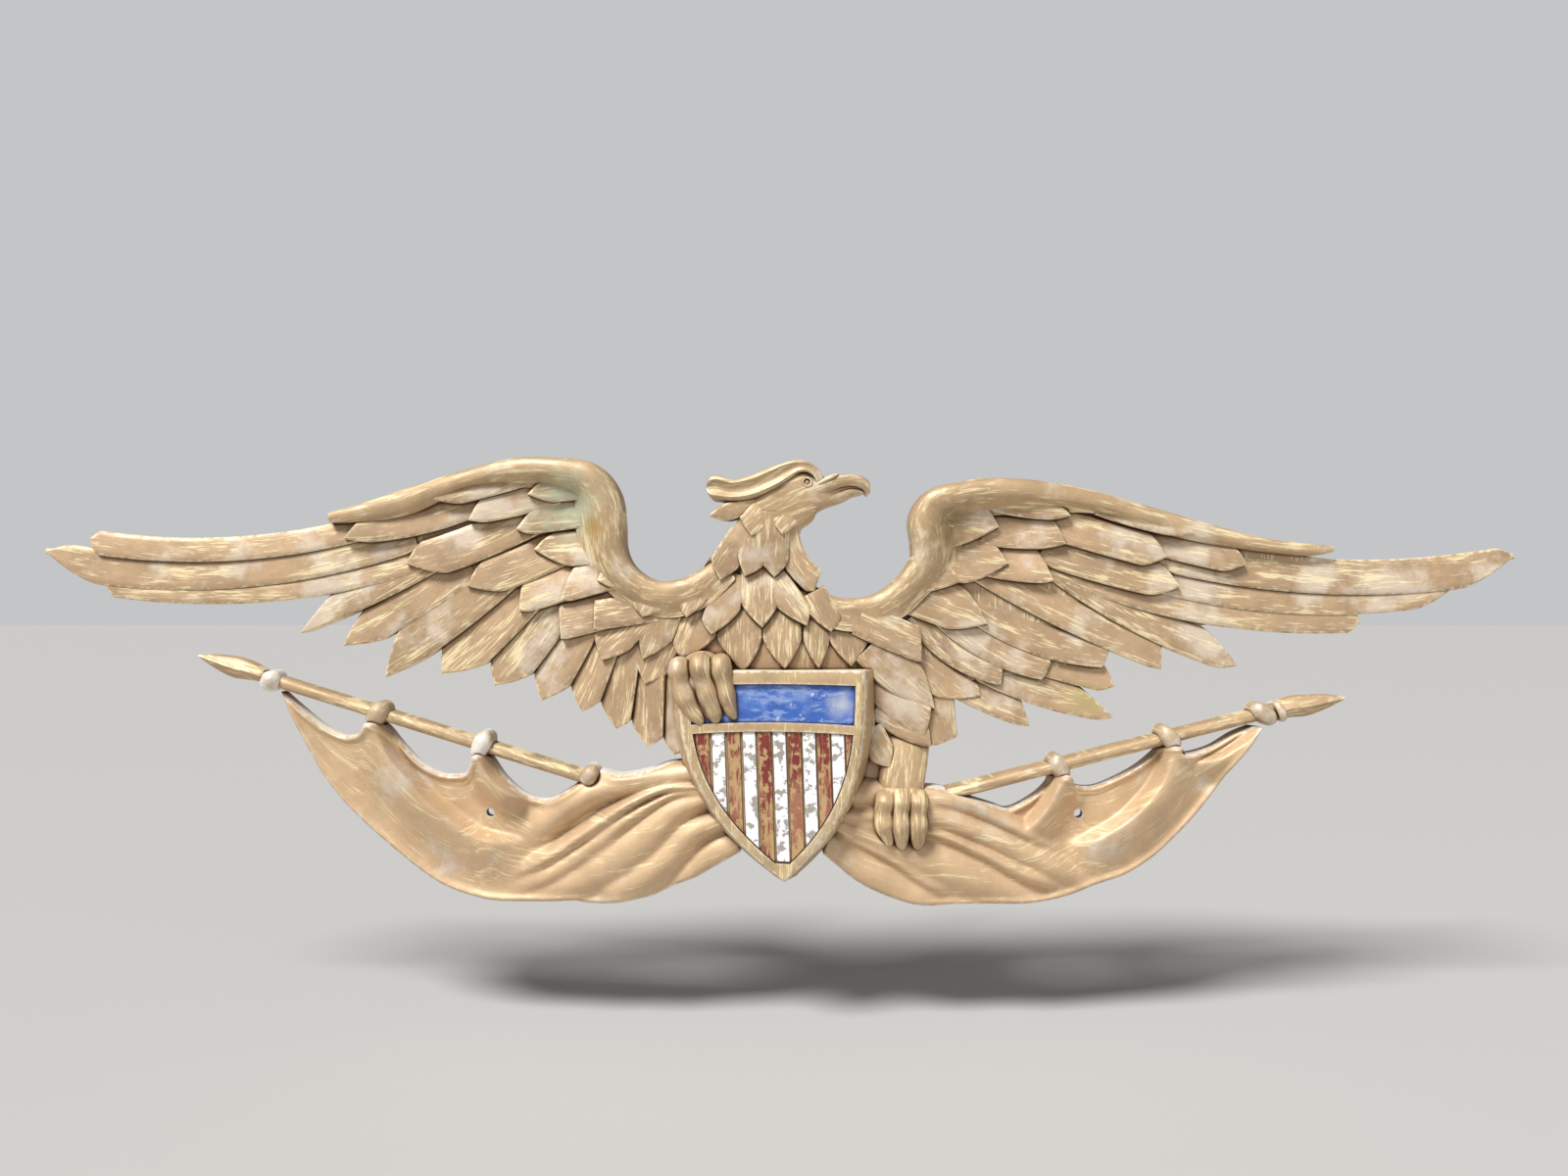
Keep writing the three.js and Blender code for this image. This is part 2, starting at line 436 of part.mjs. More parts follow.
// Gathered folds between the flags and the shield
const FOLDS = [
  [[-42, -40, 5.5, 15], [-60, -43.5, 5.5, 14.5], [-80, -46.5, 5.5, 13.5], [-98, -54, 6, 12.5],
    [-113, -66, 6, 11], [-124, -80, 5, 9]],
  [[-38, -45.5, 2.5, 16], [-56, -46.8, 2.6, 15.5], [-72, -54, 3.2, 15], [-92, -67.5, 3.6, 14],
    [-112, -80.5, 3.6, 12], [-134, -92, 2.5, 9.5]],
  [[-38, -48, 2.2, 15], [-54, -50.5, 2.8, 14.5], [-72, -61, 4.5, 14], [-90, -75, 5.5, 13], [-110, -88, 5, 11.5],
    [-132, -96, 4, 9]],
  [[-34, -52, 4.5, 16], [-50, -57, 6.5, 15.5], [-66, -72, 9, 15], [-84, -84, 8.5, 13.5], [-108, -95, 6, 11],
    [-128, -99, 2, 8]],
  [[-28, -62, 5, 16], [-42, -67, 6, 15.5], [-56, -81, 7, 14.5], [-74, -92.5, 6, 12.5], [-96, -100, 1.5, 8]],
  [[-17, -72, 5, 14], [-30, -76, 6.5, 14], [-42, -84.5, 4.5, 12.5], [-56, -94.5, 1.5, 9]],
  [[30, -50, 6.5, 15], [46, -51, 6.5, 15.5], [66, -52, 5.5, 15], [84, -54.5, 4, 13.5], [108, -65.5, 3.4, 12.5],
    [136, -82, 2.5, 10]],
  [[26, -59, 3.5, 15], [46, -60, 5, 15.5], [66, -58.5, 6, 15.5], [88, -66, 5.5, 14.5], [112, -77.5, 6.5, 12.5],
    [134, -88.5, 5.5, 10.5], [152, -90.5, 1.5, 8]],
  [[40, -64, 2.4, 15], [66, -66.5, 2.6, 14.5], [88, -74.8, 3, 14], [112, -87, 3.8, 12], [138, -96.5, 2, 9]],
  [[26, -64, 4, 15], [44, -71, 5.5, 15], [64, -79, 9, 14.5], [88, -88, 9, 13.5], [112, -97, 5.5, 10.5],
    [128, -99.5, 2, 8]],
  [[30, -70, 2, 14], [50, -79.5, 2.6, 14], [66, -90.5, 3, 13], [82, -98.8, 2, 10.5], [94, -101, 1, 8]],
  [[17, -72, 6, 14], [30, -79.5, 7.8, 14], [44, -88, 7, 13.5], [60, -96.5, 5, 11.5], [80, -101, 1, 8]],
];

// Shield: it narrows from its top width to nothing along a power curve, on either side of its point
const SHIELD = {
  top: 8.6, bottom: -87, left: 47.5, right: 36.5, leftPower: 2.8, rightPower: 3.1,
  height: 24.2, lean: 0.03, flareLeft: 4.3, flareRight: 5.4, flareDepth: 12,
  rim: 4.2, topRim: 6.8, sunk: 1.6, barTop: -16.6, barBottom: -20.8, steps: 10,
};
const STRIPE = { count: 11, first: -37.2, pitch: 7.15, shrink: 0.075, width: 5.6, drift: 0.035, raise: 0.7 };

function shieldEdge(side, depth) {
  const power = side < 0 ? SHIELD.leftPower : SHIELD.rightPower;
  const reach = side < 0 ? -SHIELD.left : SHIELD.right;
  return [reach * (1 - depth ** power), SHIELD.top + (SHIELD.bottom - SHIELD.top) * depth];
}

// The edge moved inwards by the rim's width
function shieldInset(side, depth, inset) {
  const [x0, z0] = shieldEdge(side, Math.max(0, depth - 0.01));
  const [x1, z1] = shieldEdge(side, Math.min(1, depth + 0.01));
  const [x, z] = shieldEdge(side, depth);
  const size = Math.hypot(x1 - x0, z1 - z0);
  return [x + (side * inset * (z1 - z0)) / size, z - (side * inset * (x1 - x0)) / size];
}

function shieldFace(x) {
  return SHIELD.height + SHIELD.lean * x;
}

function shieldBlock() {
  const rows = [];
  for (let i = 0; i <= SHIELD.steps; i += 1) {
    const depth = (i / SHIELD.steps) ** 0.8;
    const [left, z] = shieldEdge(-1, depth);
    const right = shieldEdge(1, depth)[0];
    const low = SHIELD.height - SHIELD.flareDepth;
    const spread = i === SHIELD.steps ? 0.5 : 0;
    rows.push([
      [left - SHIELD.flareLeft - spread, z, low],
      [left - spread, z, shieldFace(left)],
      [(left + right) / 2, z, shieldFace(0)],
      [right + spread, z, shieldFace(right)],
      [right + SHIELD.flareRight + spread, z, low],
    ]);
  }
  return reliefBody(rows);
}

// A prism between two depths of the shield inside its rim, from one height outwards
function shieldPocket(zTop, zBottom, inset, floor) {
  const rows = [];
  const first = (SHIELD.top - zTop) / (SHIELD.top - SHIELD.bottom);
  const last = (SHIELD.top - zBottom) / (SHIELD.top - SHIELD.bottom);
  for (let i = 0; i <= SHIELD.steps; i += 1) {
    const depth = first + (last - first) * (i / SHIELD.steps) ** 0.8;
    const [left, z] = shieldInset(-1, depth, inset);
    const right = shieldInset(1, depth, inset)[0];
    const spread = Math.max(0, 1.2 - (right - left)) / 2;
    rows.push([[left - spread, z], [right + spread, z]]);
  }
  return prism(rows, floor, DEPTH_LIMIT);
}

// A closed body from rows of [x, z] pairs between two heights
function prism(rows, low, high) {
  const front = reliefBody(rows.map((row) => row.map(([x, z]) => [x, z, high])));
  return front.intersect(slab(low, high + 1));
}

// A box that spans the whole plaque between two heights
function slab(low, high) {
  const box = new THREE.BoxGeometry(4 * HALF_SPAN, high - low, 2 * HALF_SPAN);
  box.translate(0, -(low + high) / 2, 0);
  return weld(box);
}

// A solid from a three.js geometry, with its shared corners merged
function weld(geometry) {
  const bare = geometry.clone();
  const source = bare.getAttribute('position');
  const found = new Map();
  const positions = [];
  const corners = Array.from(bare.index.array, (i) => {
    const point = [source.getX(i), source.getY(i), source.getZ(i)].map((value) => Math.fround(value));
    const key = point.map((value) => value.toFixed(5)).join();
    if (!found.has(key)) {
      found.set(key, positions.length / 3);
      positions.push(...point);
    }
    return found.get(key);
  });
  const index = [];
  for (let i = 0; i < corners.length; i += 3) {
    const [a, b, c] = corners.slice(i, i + 3);
    if (a !== b && b !== c && c !== a) index.push(a, b, c);
  }
  return solidFrom(new Float32Array(positions), new Uint32Array(index));
}

function stripes() {
  const bars = [];
  for (let i = 0; i < STRIPE.count; i += 1) {
    const middle = STRIPE.first + i * (STRIPE.pitch - (STRIPE.shrink * i) / 2);
    const half = STRIPE.width / 2;
    const lean = STRIPE.drift * (SHIELD.barBottom - SHIELD.bottom);
    bars.push(prism([
      [[middle - half, SHIELD.barBottom + 2], [middle + half, SHIELD.barBottom + 2]],
      [[middle - half + lean, SHIELD.bottom], [middle + half * 0.8 + lean, SHIELD.bottom]],
    ], 10, SHIELD.height - SHIELD.sunk + STRIPE.raise));
  }
  return joined(bars);
}

function shield() {
  const floor = SHIELD.height - SHIELD.sunk;
  const chief = shieldPocket(SHIELD.top - SHIELD.topRim, SHIELD.barTop, SHIELD.rim, floor);
  const field = shieldPocket(SHIELD.barBottom, SHIELD.bottom + SHIELD.rim * 1.2, SHIELD.rim, floor);
  const painted = stripes().intersect(shieldPocket(SHIELD.barBottom, SHIELD.bottom + SHIELD.rim * 1.2,
    SHIELD.rim + 0.5, 0));
  return shieldBlock().subtract(chief).subtract(field).add(painted);
}

function eye() {
  const profile = [[0, -OVERRUN], [EYE.radius, -OVERRUN], [EYE.radius, EYE.height],
    [EYE.radius * 0.75, EYE.height + 0.7], [EYE.pupil, EYE.height - 0.4], [0, EYE.height + 0.3]];
  const ring = new THREE.LatheGeometry(profile.map(([r, y]) => new THREE.Vector2(r, y)), EYE.sides);
  ring.scale(1, -1, 1);
  ring.translate(EYE.x, 0, EYE.z);
  return weld(ring);
}

function grounds() {
  return GROUNDS.map(([lower, upper, below]) => {
    const rows = [];
    const steps = 6;
    for (let i = 0; i <= steps; i += 1) {
      const [ax, az] = along(lower, i / steps);
      const [bx, bz] = along(upper, i / steps);
      rows.push([0, 0.5, 1].map((v) => {
        const x = ax + (bx - ax) * v;
        const z = az + (bz - az) * v;
        return [x, z, groundHeight(x, z) - below];
      }));
    }
    return reliefBody(rows);
  });
}

function feathers() {
  return FEATHER_ROWS.flatMap((row) => row.feathers.map((values) => feather(row, values)));
}

function cloths() {
  return CLOTHS.map(([outer, inner, heights]) => sheet(outer, inner, (u, v) => {
    const rise = 2 * u;
    return heights[CLOTH_ACROSS.indexOf(v)] + rise;
  }, { steps: outer.length + 2, across: CLOTH_ACROSS }));
}

function screwHoles() {
  return SCREW_PLACES.map(([x, z]) => {
    const { radius, sides } = SCREW_HOLE;
    const drill = new THREE.CylinderGeometry(radius, radius, 2 * DEPTH_LIMIT, sides);
    drill.translate(x, 0, z);
    return weld(drill);
  });
}

function eagle() {
  const parts = [
    ...grounds(),
    ...feathers(),
    ...ARMS.map((knots) => roll(knots, { steps: knots.length + 4, bulge: 0.7 })),
    ...SHOULDERS.map((knots) => roll(knots, { steps: 6, across: 3, bulge: 0.6 })),
    sheet(NECK.left, NECK.right, (u, v) => NECK.height - NECK.round * (2 * v - 1) ** 2, { steps: 6 }),
    roll(SKULL, { steps: 9, bulge: 0.2 }),
    roll(CREST, { steps: 13, bulge: 0.35, hollow: 0.35 }),
    roll(UPPER_BEAK, { steps: 8, across: 3, bulge: 0.5 }),
    roll(LOWER_BEAK, { steps: 6, across: 3, bulge: 0.5 }),
    eye(),
    roll(LEG, { steps: 4, bulge: 0.3 }),
    ...TOES.map((knots) => roll(knots, { steps: 7, across: 3, bulge: 0.9 })),
  ];
  return joined(parts);
}

function flags() {
  const parts = [
    ...cloths(),
    ...UNDERLAYS.map(([lower, upper, height]) => sheet(lower, upper, () => height, { steps: 5, across: FLAT })),
    ...FOLDS.map((knots) => roll(knots, { steps: knots.length, across: 3, bulge: 0.55 })),
    ...STAFFS.map((knots) => roll(knots, { steps: 1, bulge: 0.9 })),
    ...SPEARHEADS.map((knots) => roll(knots, { steps: 6, across: 3, bulge: 0.5 })),
    ...KNOTS.map((knots) => roll(knots, { steps: 4, across: 3, bulge: 0.9 })),
  ];
  return joined(parts);
}

function plaque() {
  const whole = eagle().add(shield()).add(flags()).intersect(slab(0, DEPTH_LIMIT));
  return screwHoles().reduce((left, hole) => left.subtract(hole), whole);
}

// Drops the corners whose loss moves the surface by less than `limit`: each such corner is drawn into a
// neighbour, as long as the mesh stays closed, no triangle folds over and the back stays flat.
function cleaned(solid, limit) {
  const { numProp, vertProperties, triVerts } = solid.getMesh();
  const points = [];
  for (let i = 0; i < vertProperties.length; i += numProp) {
    points.push(new THREE.Vector3().fromArray(vertProperties, i));
  }
  const faces = [];
  for (let i = 0; i < triVerts.length; i += 3) faces.push(Array.from(triVerts.slice(i, i + 3)));
  const around = points.map(() => new Set());
  faces.forEach((face, f) => face.forEach((v) => around[v].add(f)));
  const ring = (v) => new Set([...around[v]].flatMap((f) => faces[f]).filter((w) => w !== v));
  const crossOf = ([a, b, c]) => b.clone().sub(a).cross(c.clone().sub(a));
  const isBack = (v) => points[v].y > -0.001;

  const mayDraw = (from, to) => {
    if (isBack(from) && !isBack(to)) return false;
    const near = ring(to);
    if ([...ring(from)].filter((w) => near.has(w)).length !== 2) return false;
    return [...around[from]].filter((f) => !faces[f].includes(to)).every((f) => {
      const before = crossOf(faces[f].map((v) => points[v]));
      const corners = faces[f].map((v) => points[v === from ? to : v]);
      const after = crossOf(corners);
      const longest = Math.max(...corners.map((p, i) => p.distanceTo(corners[(i + 1) % 3])));
      if (after.length() < 0.12 * longest) return false;
      if (before.length() > 0.3 && before.angleTo(after) > 0.6) return false;
      if (before.dot(after) < 0) return false;
      return Math.abs(after.normalize().dot(points[from].clone().sub(points[to]))) < limit;
    });
  };

  const draw = (from, to) => {
    around[from].forEach((f) => {
      if (faces[f].includes(to)) {
        faces[f].forEach((v) => v !== from && around[v].delete(f));
        faces[f] = null;
      } else {
        faces[f] = faces[f].map((v) => (v === from ? to : v));
        around[to].add(f);
      }
    });
    around[from].clear();
  };

  for (let pass = 0; pass < 6; pass += 1) {
    const order = points.map((unused, v) => v).filter((v) => around[v].size > 0);
    order.forEach((from) => {
      const near = [...ring(from)].sort((a, b) => points[from].distanceTo(points[a]) - points[from].distanceTo(points[b]));
      const to = near.find((v) => mayDraw(from, v));
      if (to !== undefined) draw(from, to);
    });
  }
  const used = points.map((unused, v) => v).filter((v) => around[v].size > 0);
  const place = new Map(used.map((v, i) => [v, i]));
  return {
    positions: new Float32Array(used.flatMap((v) => points[v].toArray())),
    index: new Uint32Array(faces.filter(Boolean).flatMap((face) => face.map((v) => place.get(v)))),
  };
}

function meshFrom(solid, name, material) {
  const { positions, index } = cleaned(solid, SMALLEST_STEP);
  const geometry = new THREE.BufferGeometry();
  geometry.setAttribute('position', new THREE.BufferAttribute(positions, 3));
  geometry.setIndex(new THREE.BufferAttribute(index, 1));
  geometry.computeVertexNormals();
  const mesh = new THREE.Mesh(geometry, material);
  mesh.name = name;
  return mesh;
}

const paintedCasting = new THREE.MeshStandardMaterial({ color: 0xc2a67e, roughness: 0.5, metalness: 0.25 });

const group = new THREE.Group();
group.add(meshFrom(plaque(), 'eagle_plaque', paintedCasting));

export default group;
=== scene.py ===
"""Eagle wall plaque: a painted casting of an eagle over a striped shield, with staffs and draped flags.

Lengths in the tables are millimetres in the plaque's own frame: x to the right, z up, and the height
off the flat back. The relief stands towards -y.
"""

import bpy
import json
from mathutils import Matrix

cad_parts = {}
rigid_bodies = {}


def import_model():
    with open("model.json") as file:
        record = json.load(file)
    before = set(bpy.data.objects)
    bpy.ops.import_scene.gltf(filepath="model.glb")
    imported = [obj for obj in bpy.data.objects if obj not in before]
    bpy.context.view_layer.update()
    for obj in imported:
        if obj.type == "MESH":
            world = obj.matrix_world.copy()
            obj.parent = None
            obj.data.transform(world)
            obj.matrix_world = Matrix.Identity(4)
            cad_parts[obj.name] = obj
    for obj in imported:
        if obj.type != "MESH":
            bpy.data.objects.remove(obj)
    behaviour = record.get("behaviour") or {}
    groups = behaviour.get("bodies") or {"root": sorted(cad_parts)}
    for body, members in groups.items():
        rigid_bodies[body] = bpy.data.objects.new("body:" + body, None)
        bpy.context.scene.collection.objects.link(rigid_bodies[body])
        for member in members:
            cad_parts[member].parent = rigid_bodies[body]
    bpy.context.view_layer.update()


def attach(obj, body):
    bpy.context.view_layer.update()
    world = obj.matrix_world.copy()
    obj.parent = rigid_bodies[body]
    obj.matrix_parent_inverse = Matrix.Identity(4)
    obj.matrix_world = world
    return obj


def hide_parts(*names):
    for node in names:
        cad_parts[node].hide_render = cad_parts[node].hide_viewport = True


bl_info = {
    "name": "Eagle wall plaque",
    "version": (1, 0, 0),
    "blender": (4, 5, 0),
    "location": "3D View > Sidebar > Plaque",
    "description": "Builds a painted relief eagle with its shield and flags, and a plain studio",
    "category": "Add Mesh",
}

import json
import math

import bpy
import numpy as np
from mathutils import Vector

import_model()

MM = 0.001
OVERRUN = 4.0

# Heights off the wall, as in the part's source
TIP_HEIGHT = 4.5
SHOULDER_HEIGHT = 11.0
HALF_SPAN = 345.0
BREAST = dict(x=2, z=14, reach=40, drop=46, rise=8)
INNER_DISH = dict(x=104, z=72, reach=24, depth=3.5)

# Feather rows, lowest first: lift, tilt, crown, how far the root lies sunk, the height where it isn't the
# ground's, how blunt the tip is, and the hand of the overlapping edge. Each feather is its tip's x and z, heading in degrees,
# length, width, place of the point across the width, length of the cut on either side of it, and sag.
FLIGHT = dict(lift=0, tilt=1.3, crown=0.2, sunk=1.5, level=None, blunt=0.02)
FIRST_COVERTS = dict(lift=2.2, tilt=1.2, crown=0.2, sunk=2.8, level=None, blunt=0.02)
SECOND_COVERTS = dict(FIRST_COVERTS, lift=3.2)
THIRD_COVERTS = dict(FIRST_COVERTS, lift=4.2)
BREAST_FEATHERS = dict(lift=1.6, tilt=0, crown=0.5, sunk=2.2, level=None, blunt=0.02)
FEATHER_ROWS = [
  # Left wing: primaries, then secondaries from the outside in
  (dict(FLIGHT, side=1, blunt=0.16), [
    [-320, 49.5, 184.9, 157, 14, 0, 6, 8, 9.8],
    [-347.2, 63.5, 183.8, 175, 17, -0.4, 12, 28, 11.8],
    [-326, 69, 183.4, 136, 11.5, -0.2, 4, 6, 7.4],
  ]),
  (dict(FLIGHT, side=1), [
    [-226, 25, 205, 72, 16, 0.9, 30, 3, 1.5],
    [-206, 19, 211, 70, 17, 0.3, 17, 19, 1.5],
    [-160, 6, 226, 72, 22, 0, 12, 20, 1.5],
    [-135, 0.5, 234, 68, 20, 0, 9, 16, 1.5],
    [-113, -6.5, 242, 62, 18.5, 0.15, 11, 14, 1],
    [-94, -11.5, 251, 58, 16, 0.25, 10, 8, 1],
    [-78, -19.5, 262, 52, 15.5, 0.25, 12, 5, 0.5],
    [-63.5, -28, 268, 50, 15, 0.05, 12, 5, 0],
    [-51, -31.5, 271, 45, 12, -0.1, 9, 3, 0],
  ]),
  (dict(FLIGHT, side=1, lift=0.9), [
    [-186, 4.5, 217, 78, 23, 0.75, 26, 22, 2],
  ]),
  # Left wing coverts
  (dict(FIRST_COVERTS, side=1), [
    [-205, 69, 193, 69, 14, 0.7, 11, 12, 4],
    [-176, 57.5, 202, 66, 18, -0.1, 10, 18, 2],
    [-147.5, 47, 203, 58, 18, 0.1, 12, 17, 1.5],
    [-123, 35.5, 199, 45, 17, 0.8, 6, 5, 1],
    [-103.5, 22.5, 194, 34, 17, 0.9, 3, 3, 0],
    [-84.5, 12.5, 225, 36, 18, 0.37, 7, 13, 0],
  ]),
  (dict(SECOND_COVERTS, side=1), [
    [-146.5, 77.5, 193, 42, 14, 0.7, 10, 8, 1],
    [-124.5, 73.5, 188, 38, 15, 0.6, 14, 6, 0.5],
    [-116.5, 64, 185, 34, 17, -0.1, 10, 17, 0],
    [-104, 40, 195, 34, 18, 0.85, 14, 6, 0],
    [-88, 27, 188, 30, 14, 0.9, 2, 3, 0],
  ]),
  (dict(THIRD_COVERTS, side=1), [
    [-167, 88.5, 194, 50, 13, 0, 14, 17, 1],
    [-119, 89.5, 186, 27, 15, 0.35, 15, 12, 0],
    [-86.5, 49.5, 195, 14, 16, 0.1, 8, 10, 0],
  ]),
  # Right wing: lowest layer, secondaries and primaries
  (dict(FLIGHT, side=-1, lift=-1.2), [
    [154.5, 0, 345, 40, 14, 0.4, 9, 8, 0],
    [154, -14.5, 343, 64, 18, 0.75, 28, 8, 3],
    [114.5, -18.5, 336, 44, 14, 0.8, 10, 8, 1.5],
  ]),
  (dict(FLIGHT, side=-1, blunt=0.16), [
    [269.5, 30.5, 349.8, 147, 15, 0.3, 3, 6, 9],
    [316.3, 48, 357.4, 151, 14, -0.2, 3, 22, 9.5],
    [343, 61, 358, 173, 16.5, -0.4, 7, 28, 9.5],
  ]),
  (dict(FLIGHT, side=-1), [
    [212, 9.7, 332.5, 100, 16, 0.5, 22, 9, 4.5],
    [176, 8, 334, 100, 16, 0.9, 6, 4, 2.5],
    [151.5, 15.5, 341, 66, 16, 0.15, 2, 3, 5],
    [124.5, 11, 333, 56, 17, 0, 2, 3, 4.5],
    [101, 1.3, 326, 48, 15, 0.9, 1, 2, 5],
    [92, -4.5, 322, 40, 18, -0.6, 5, 20, 0],
  ]),
  # Right wing coverts
  (dict(FIRST_COVERTS, side=-1), [
    [215.5, 57, 347, 46, 13, 0.2, 7, 11, 0.5],
    [184.5, 46.5, 345, 66, 16, 0.2, 12, 14, 1.5],
    [125.5, 49.5, 352, 40, 17, 0.85, 9, 5, 1.5],
    [94.5, 29.5, 340, 40, 22, 0.2, 19, 18, 0],
  ]),
  (dict(SECOND_COVERTS, side=-1), [
    [178, 60.5, 344, 58, 16, 0.15, 11, 11, 0.5],
    [131, 66.5, 358, 38, 15, 0.75, 6, 12, 1],
    [104.5, 57.5, 355, 34, 22, 0, 11, 20, 0],
    [82, 49, 350, 18.5, 18, 0.1, 12, 18, 0],
  ]),
  (dict(THIRD_COVERTS, side=-1), [
    [190.5, 71, 346, 46, 9, 0.5, 7, 12, 1.5],
    [133, 79.5, 352, 40, 14, 0.7, 14, 10, 1.5],
    [100, 74.5, 355, 34, 24, 0, 10, 24, 0],
  ]),
  # Breast, shoulders and flanks
  (dict(BREAST_FEATHERS, side=1, lift=0.3), [
    [-64.5, 1.5, 245, 34, 20, 0.2, 12, 10, 0],
    [-47, 12, 252, 30, 20, -0.1, 10, 16, 0],
    [-18.5, 7, 270, 30, 21, 0.2, 17, 16, 0],
    [0.5, 8.7, 270, 28, 18, 0.15, 15, 15, 0],
    [16, 8.7, 268, 28, 12.5, 0.25, 15, 15, 0],
    [31, 9.7, 275, 28, 20, -0.05, 15, 14, 0],
    [71.5, -27, 271, 36, 20, 0, 1, 2.5, -1.5],
    [41, -24, 272, 34, 7, 0.6, 14, 3, 0],
  ]),
  (dict(BREAST_FEATHERS, side=1, level=13.6, lift=0), [
    [49, -36.8, 296, 20, 12.5, 0.1, 7, 9, 0],
  ]),
  (dict(BREAST_FEATHERS, side=-1, level=12.4, lift=0), [
    [68, -27.5, 333, 30, 10, 0.7, 4, 12, 1.5],
  ]),
  (dict(BREAST_FEATHERS, side=-1, level=12.9, lift=0), [
    [65.3, -22.5, 322, 36, 15, 0.7, 5, 18, 1],
  ]),
  (dict(BREAST_FEATHERS, side=-1, lift=2.4), [
    [70, -10, 318, 42, 20, 0.2, 20, 26, 1],
  ]),
  (dict(BREAST_FEATHERS, side=-1, lift=3.4), [
    [63.5, 12, 337, 34, 16, 0.9, 7, 2, 0.5],
  ]),
  (dict(BREAST_FEATHERS, side=1, lift=2.0), [
    [-65.5, 13, 250, 30, 17, -0.2, 14, 14, 0],
    [-33.5, 24.5, 255, 30, 16, -0.24, 6, 15, 0],
    [-10, 28, 272, 28, 17, 0.1, 12, 11, 0],
    [10.5, 28.7, 305, 28, 13, 0, 16, 7, 0],
    [21.5, 26, 298, 20, 13, -0.15, 14, 4, 0],
    [38.5, 22.7, 303, 16.5, 15, -0.25, 15, 4, 0],
  ]),
  (dict(BREAST_FEATHERS, side=1, lift=3.4), [
    [-65.5, 32.5, 235, 15.5, 16, 0, 3, 14, 0],
    [-45, 32.5, 248, 18, 14, -0.1, 5, 16, 0],
  ]),
  # Ruff, flush with the neck above it
  (dict(BREAST_FEATHERS, side=1, level=15.8, lift=0, sunk=0.6), [
    [-29.5, 49.5, 236, 24, 14, 0.35, 7, 13, 0],
    [14, 44.5, 301, 30, 12, -0.6, 3, 3, -3.5],
  ]),
  (dict(BREAST_FEATHERS, side=1, level=17.4, lift=0, sunk=0.2), [
    [-18, 51.5, 250, 26, 13, 0, 9, 8, 0],
    [-4.5, 51, 268, 26, 14, 0.1, 10, 8, 0],
  ]),
  # Head
  (dict(BREAST_FEATHERS, side=1, level=17, lift=0), [
    [-34.5, 79.5, 195, 32, 8.5, 0.2, 10, 9, 1.5],
  ]),
  (dict(BREAST_FEATHERS, side=1, level=18.7, lift=0, sunk=3.4), [
    [-15, 69.8, 228, 17, 13, 0.5, 3, 10, 0],
    [-1, 70.3, 232, 15, 11, 0.4, 3, 11, 0],
  ]),
]
GROUNDS = [
  # Left wing
  [[[-60, -18], [-95, 5], [-130, 20], [-165, 30], [-205, 50], [-300, 52]],
    [[-72, 44], [-88, 90], [-115, 98], [-150, 92], [-205, 72], [-300, 60]], 1.7],
  # Right wing
  [[[52, -12], [88, 3], [125, 8], [165, 22], [215, 32], [290, 46]],
    [[62, 44], [74, 80], [98, 89], [140, 84], [205, 67], [290, 55.5]], 1.7],
  # Breast, from the left flank to the right
  [[[-66, -10], [-40, -12], [-10, -20], [20, -25], [45, -30], [66, -22]],
    [[-66, 44], [-44, 44], [-20, 54], [10, 44], [40, 36], [58, 44]], 2.5],
]

# Rolls: each knot is x, z, half width and height, and for an arm how far its inner side runs out
ARMS = [
    ([[-28, 57, 4, 14, 8], [-38, 48.5, 5.5, 16, 9], [-47, 44.5, 5.8, 15.8, 10], [-57, 43.5, 5.6, 15.5, 10],
      [-67, 46.8, 5.6, 15.8, 10], [-75.5, 54, 6, 16.4, 10], [-80, 64, 6.6, 17, 13], [-81, 76, 7, 17.5, 15],
      [-83.5, 88, 7.5, 17.5, 14], [-91, 97, 7.4, 17, 11], [-104, 100.3, 5.9, 16, 8],
      [-124, 100.9, 5.4, 15, 7], [-148, 95.5, 5.2, 13.5, 3], [-178, 85.3, 6.2, 12, 0],
      [-198, 80.8, 4.2, 10.5, 0], [-213, 78.8, 2.3, 9, 0]], 1),
    ([[10, 45, 4, 13, 6], [22, 37.5, 4.8, 15.5, 8], [32, 36, 5.2, 15, 9], [42, 37.5, 5.2, 15, 9],
      [51, 42, 5.5, 15.2, 9], [59.5, 50, 5.6, 15.8, 9], [65, 59, 6.2, 16.6, 13], [66, 68, 7, 17.2, 16],
      [65.5, 77, 7.5, 17.5, 16], [70, 85, 7, 17.5, 14], [80, 88.5, 6.3, 17, 12], [96, 91, 6, 16, 10],
      [118, 90, 5.8, 15, 9], [142, 86, 5.5, 13.5, 4], [170, 78.5, 5.3, 12, 1],
      [196, 71.7, 4.9, 10.5, 0], [220, 66.8, 3.4, 9.5, 0], [245, 63.8, 2.8, 8.5, 0],
      [257, 64.5, 1.5, 8, 0]], -1),
]
NECK_LEFT = [[-20, 82], [-22, 76], [-27, 69], [-34, 60.5], [-38, 54], [-40, 44]]
NECK_RIGHT = [[10, 80], [8.5, 74], [5.5, 65], [6.5, 57], [13, 49], [20, 40]]
NECK_HEIGHT = 18
SKULL = [[-22, 81.5, 4, 15], [-12, 80.5, 9.5, 16.8], [-2, 84, 13, 17.8], [6, 87.5, 13, 18.6],
         [12, 89.8, 10.5, 18.8], [18, 90.5, 7.4, 17.5], [25, 91.7, 6.1, 15.5], [31, 93.3, 4.8, 15],
         [36, 93.3, 4, 14.5], [38.5, 91.3, 2, 13.5]]
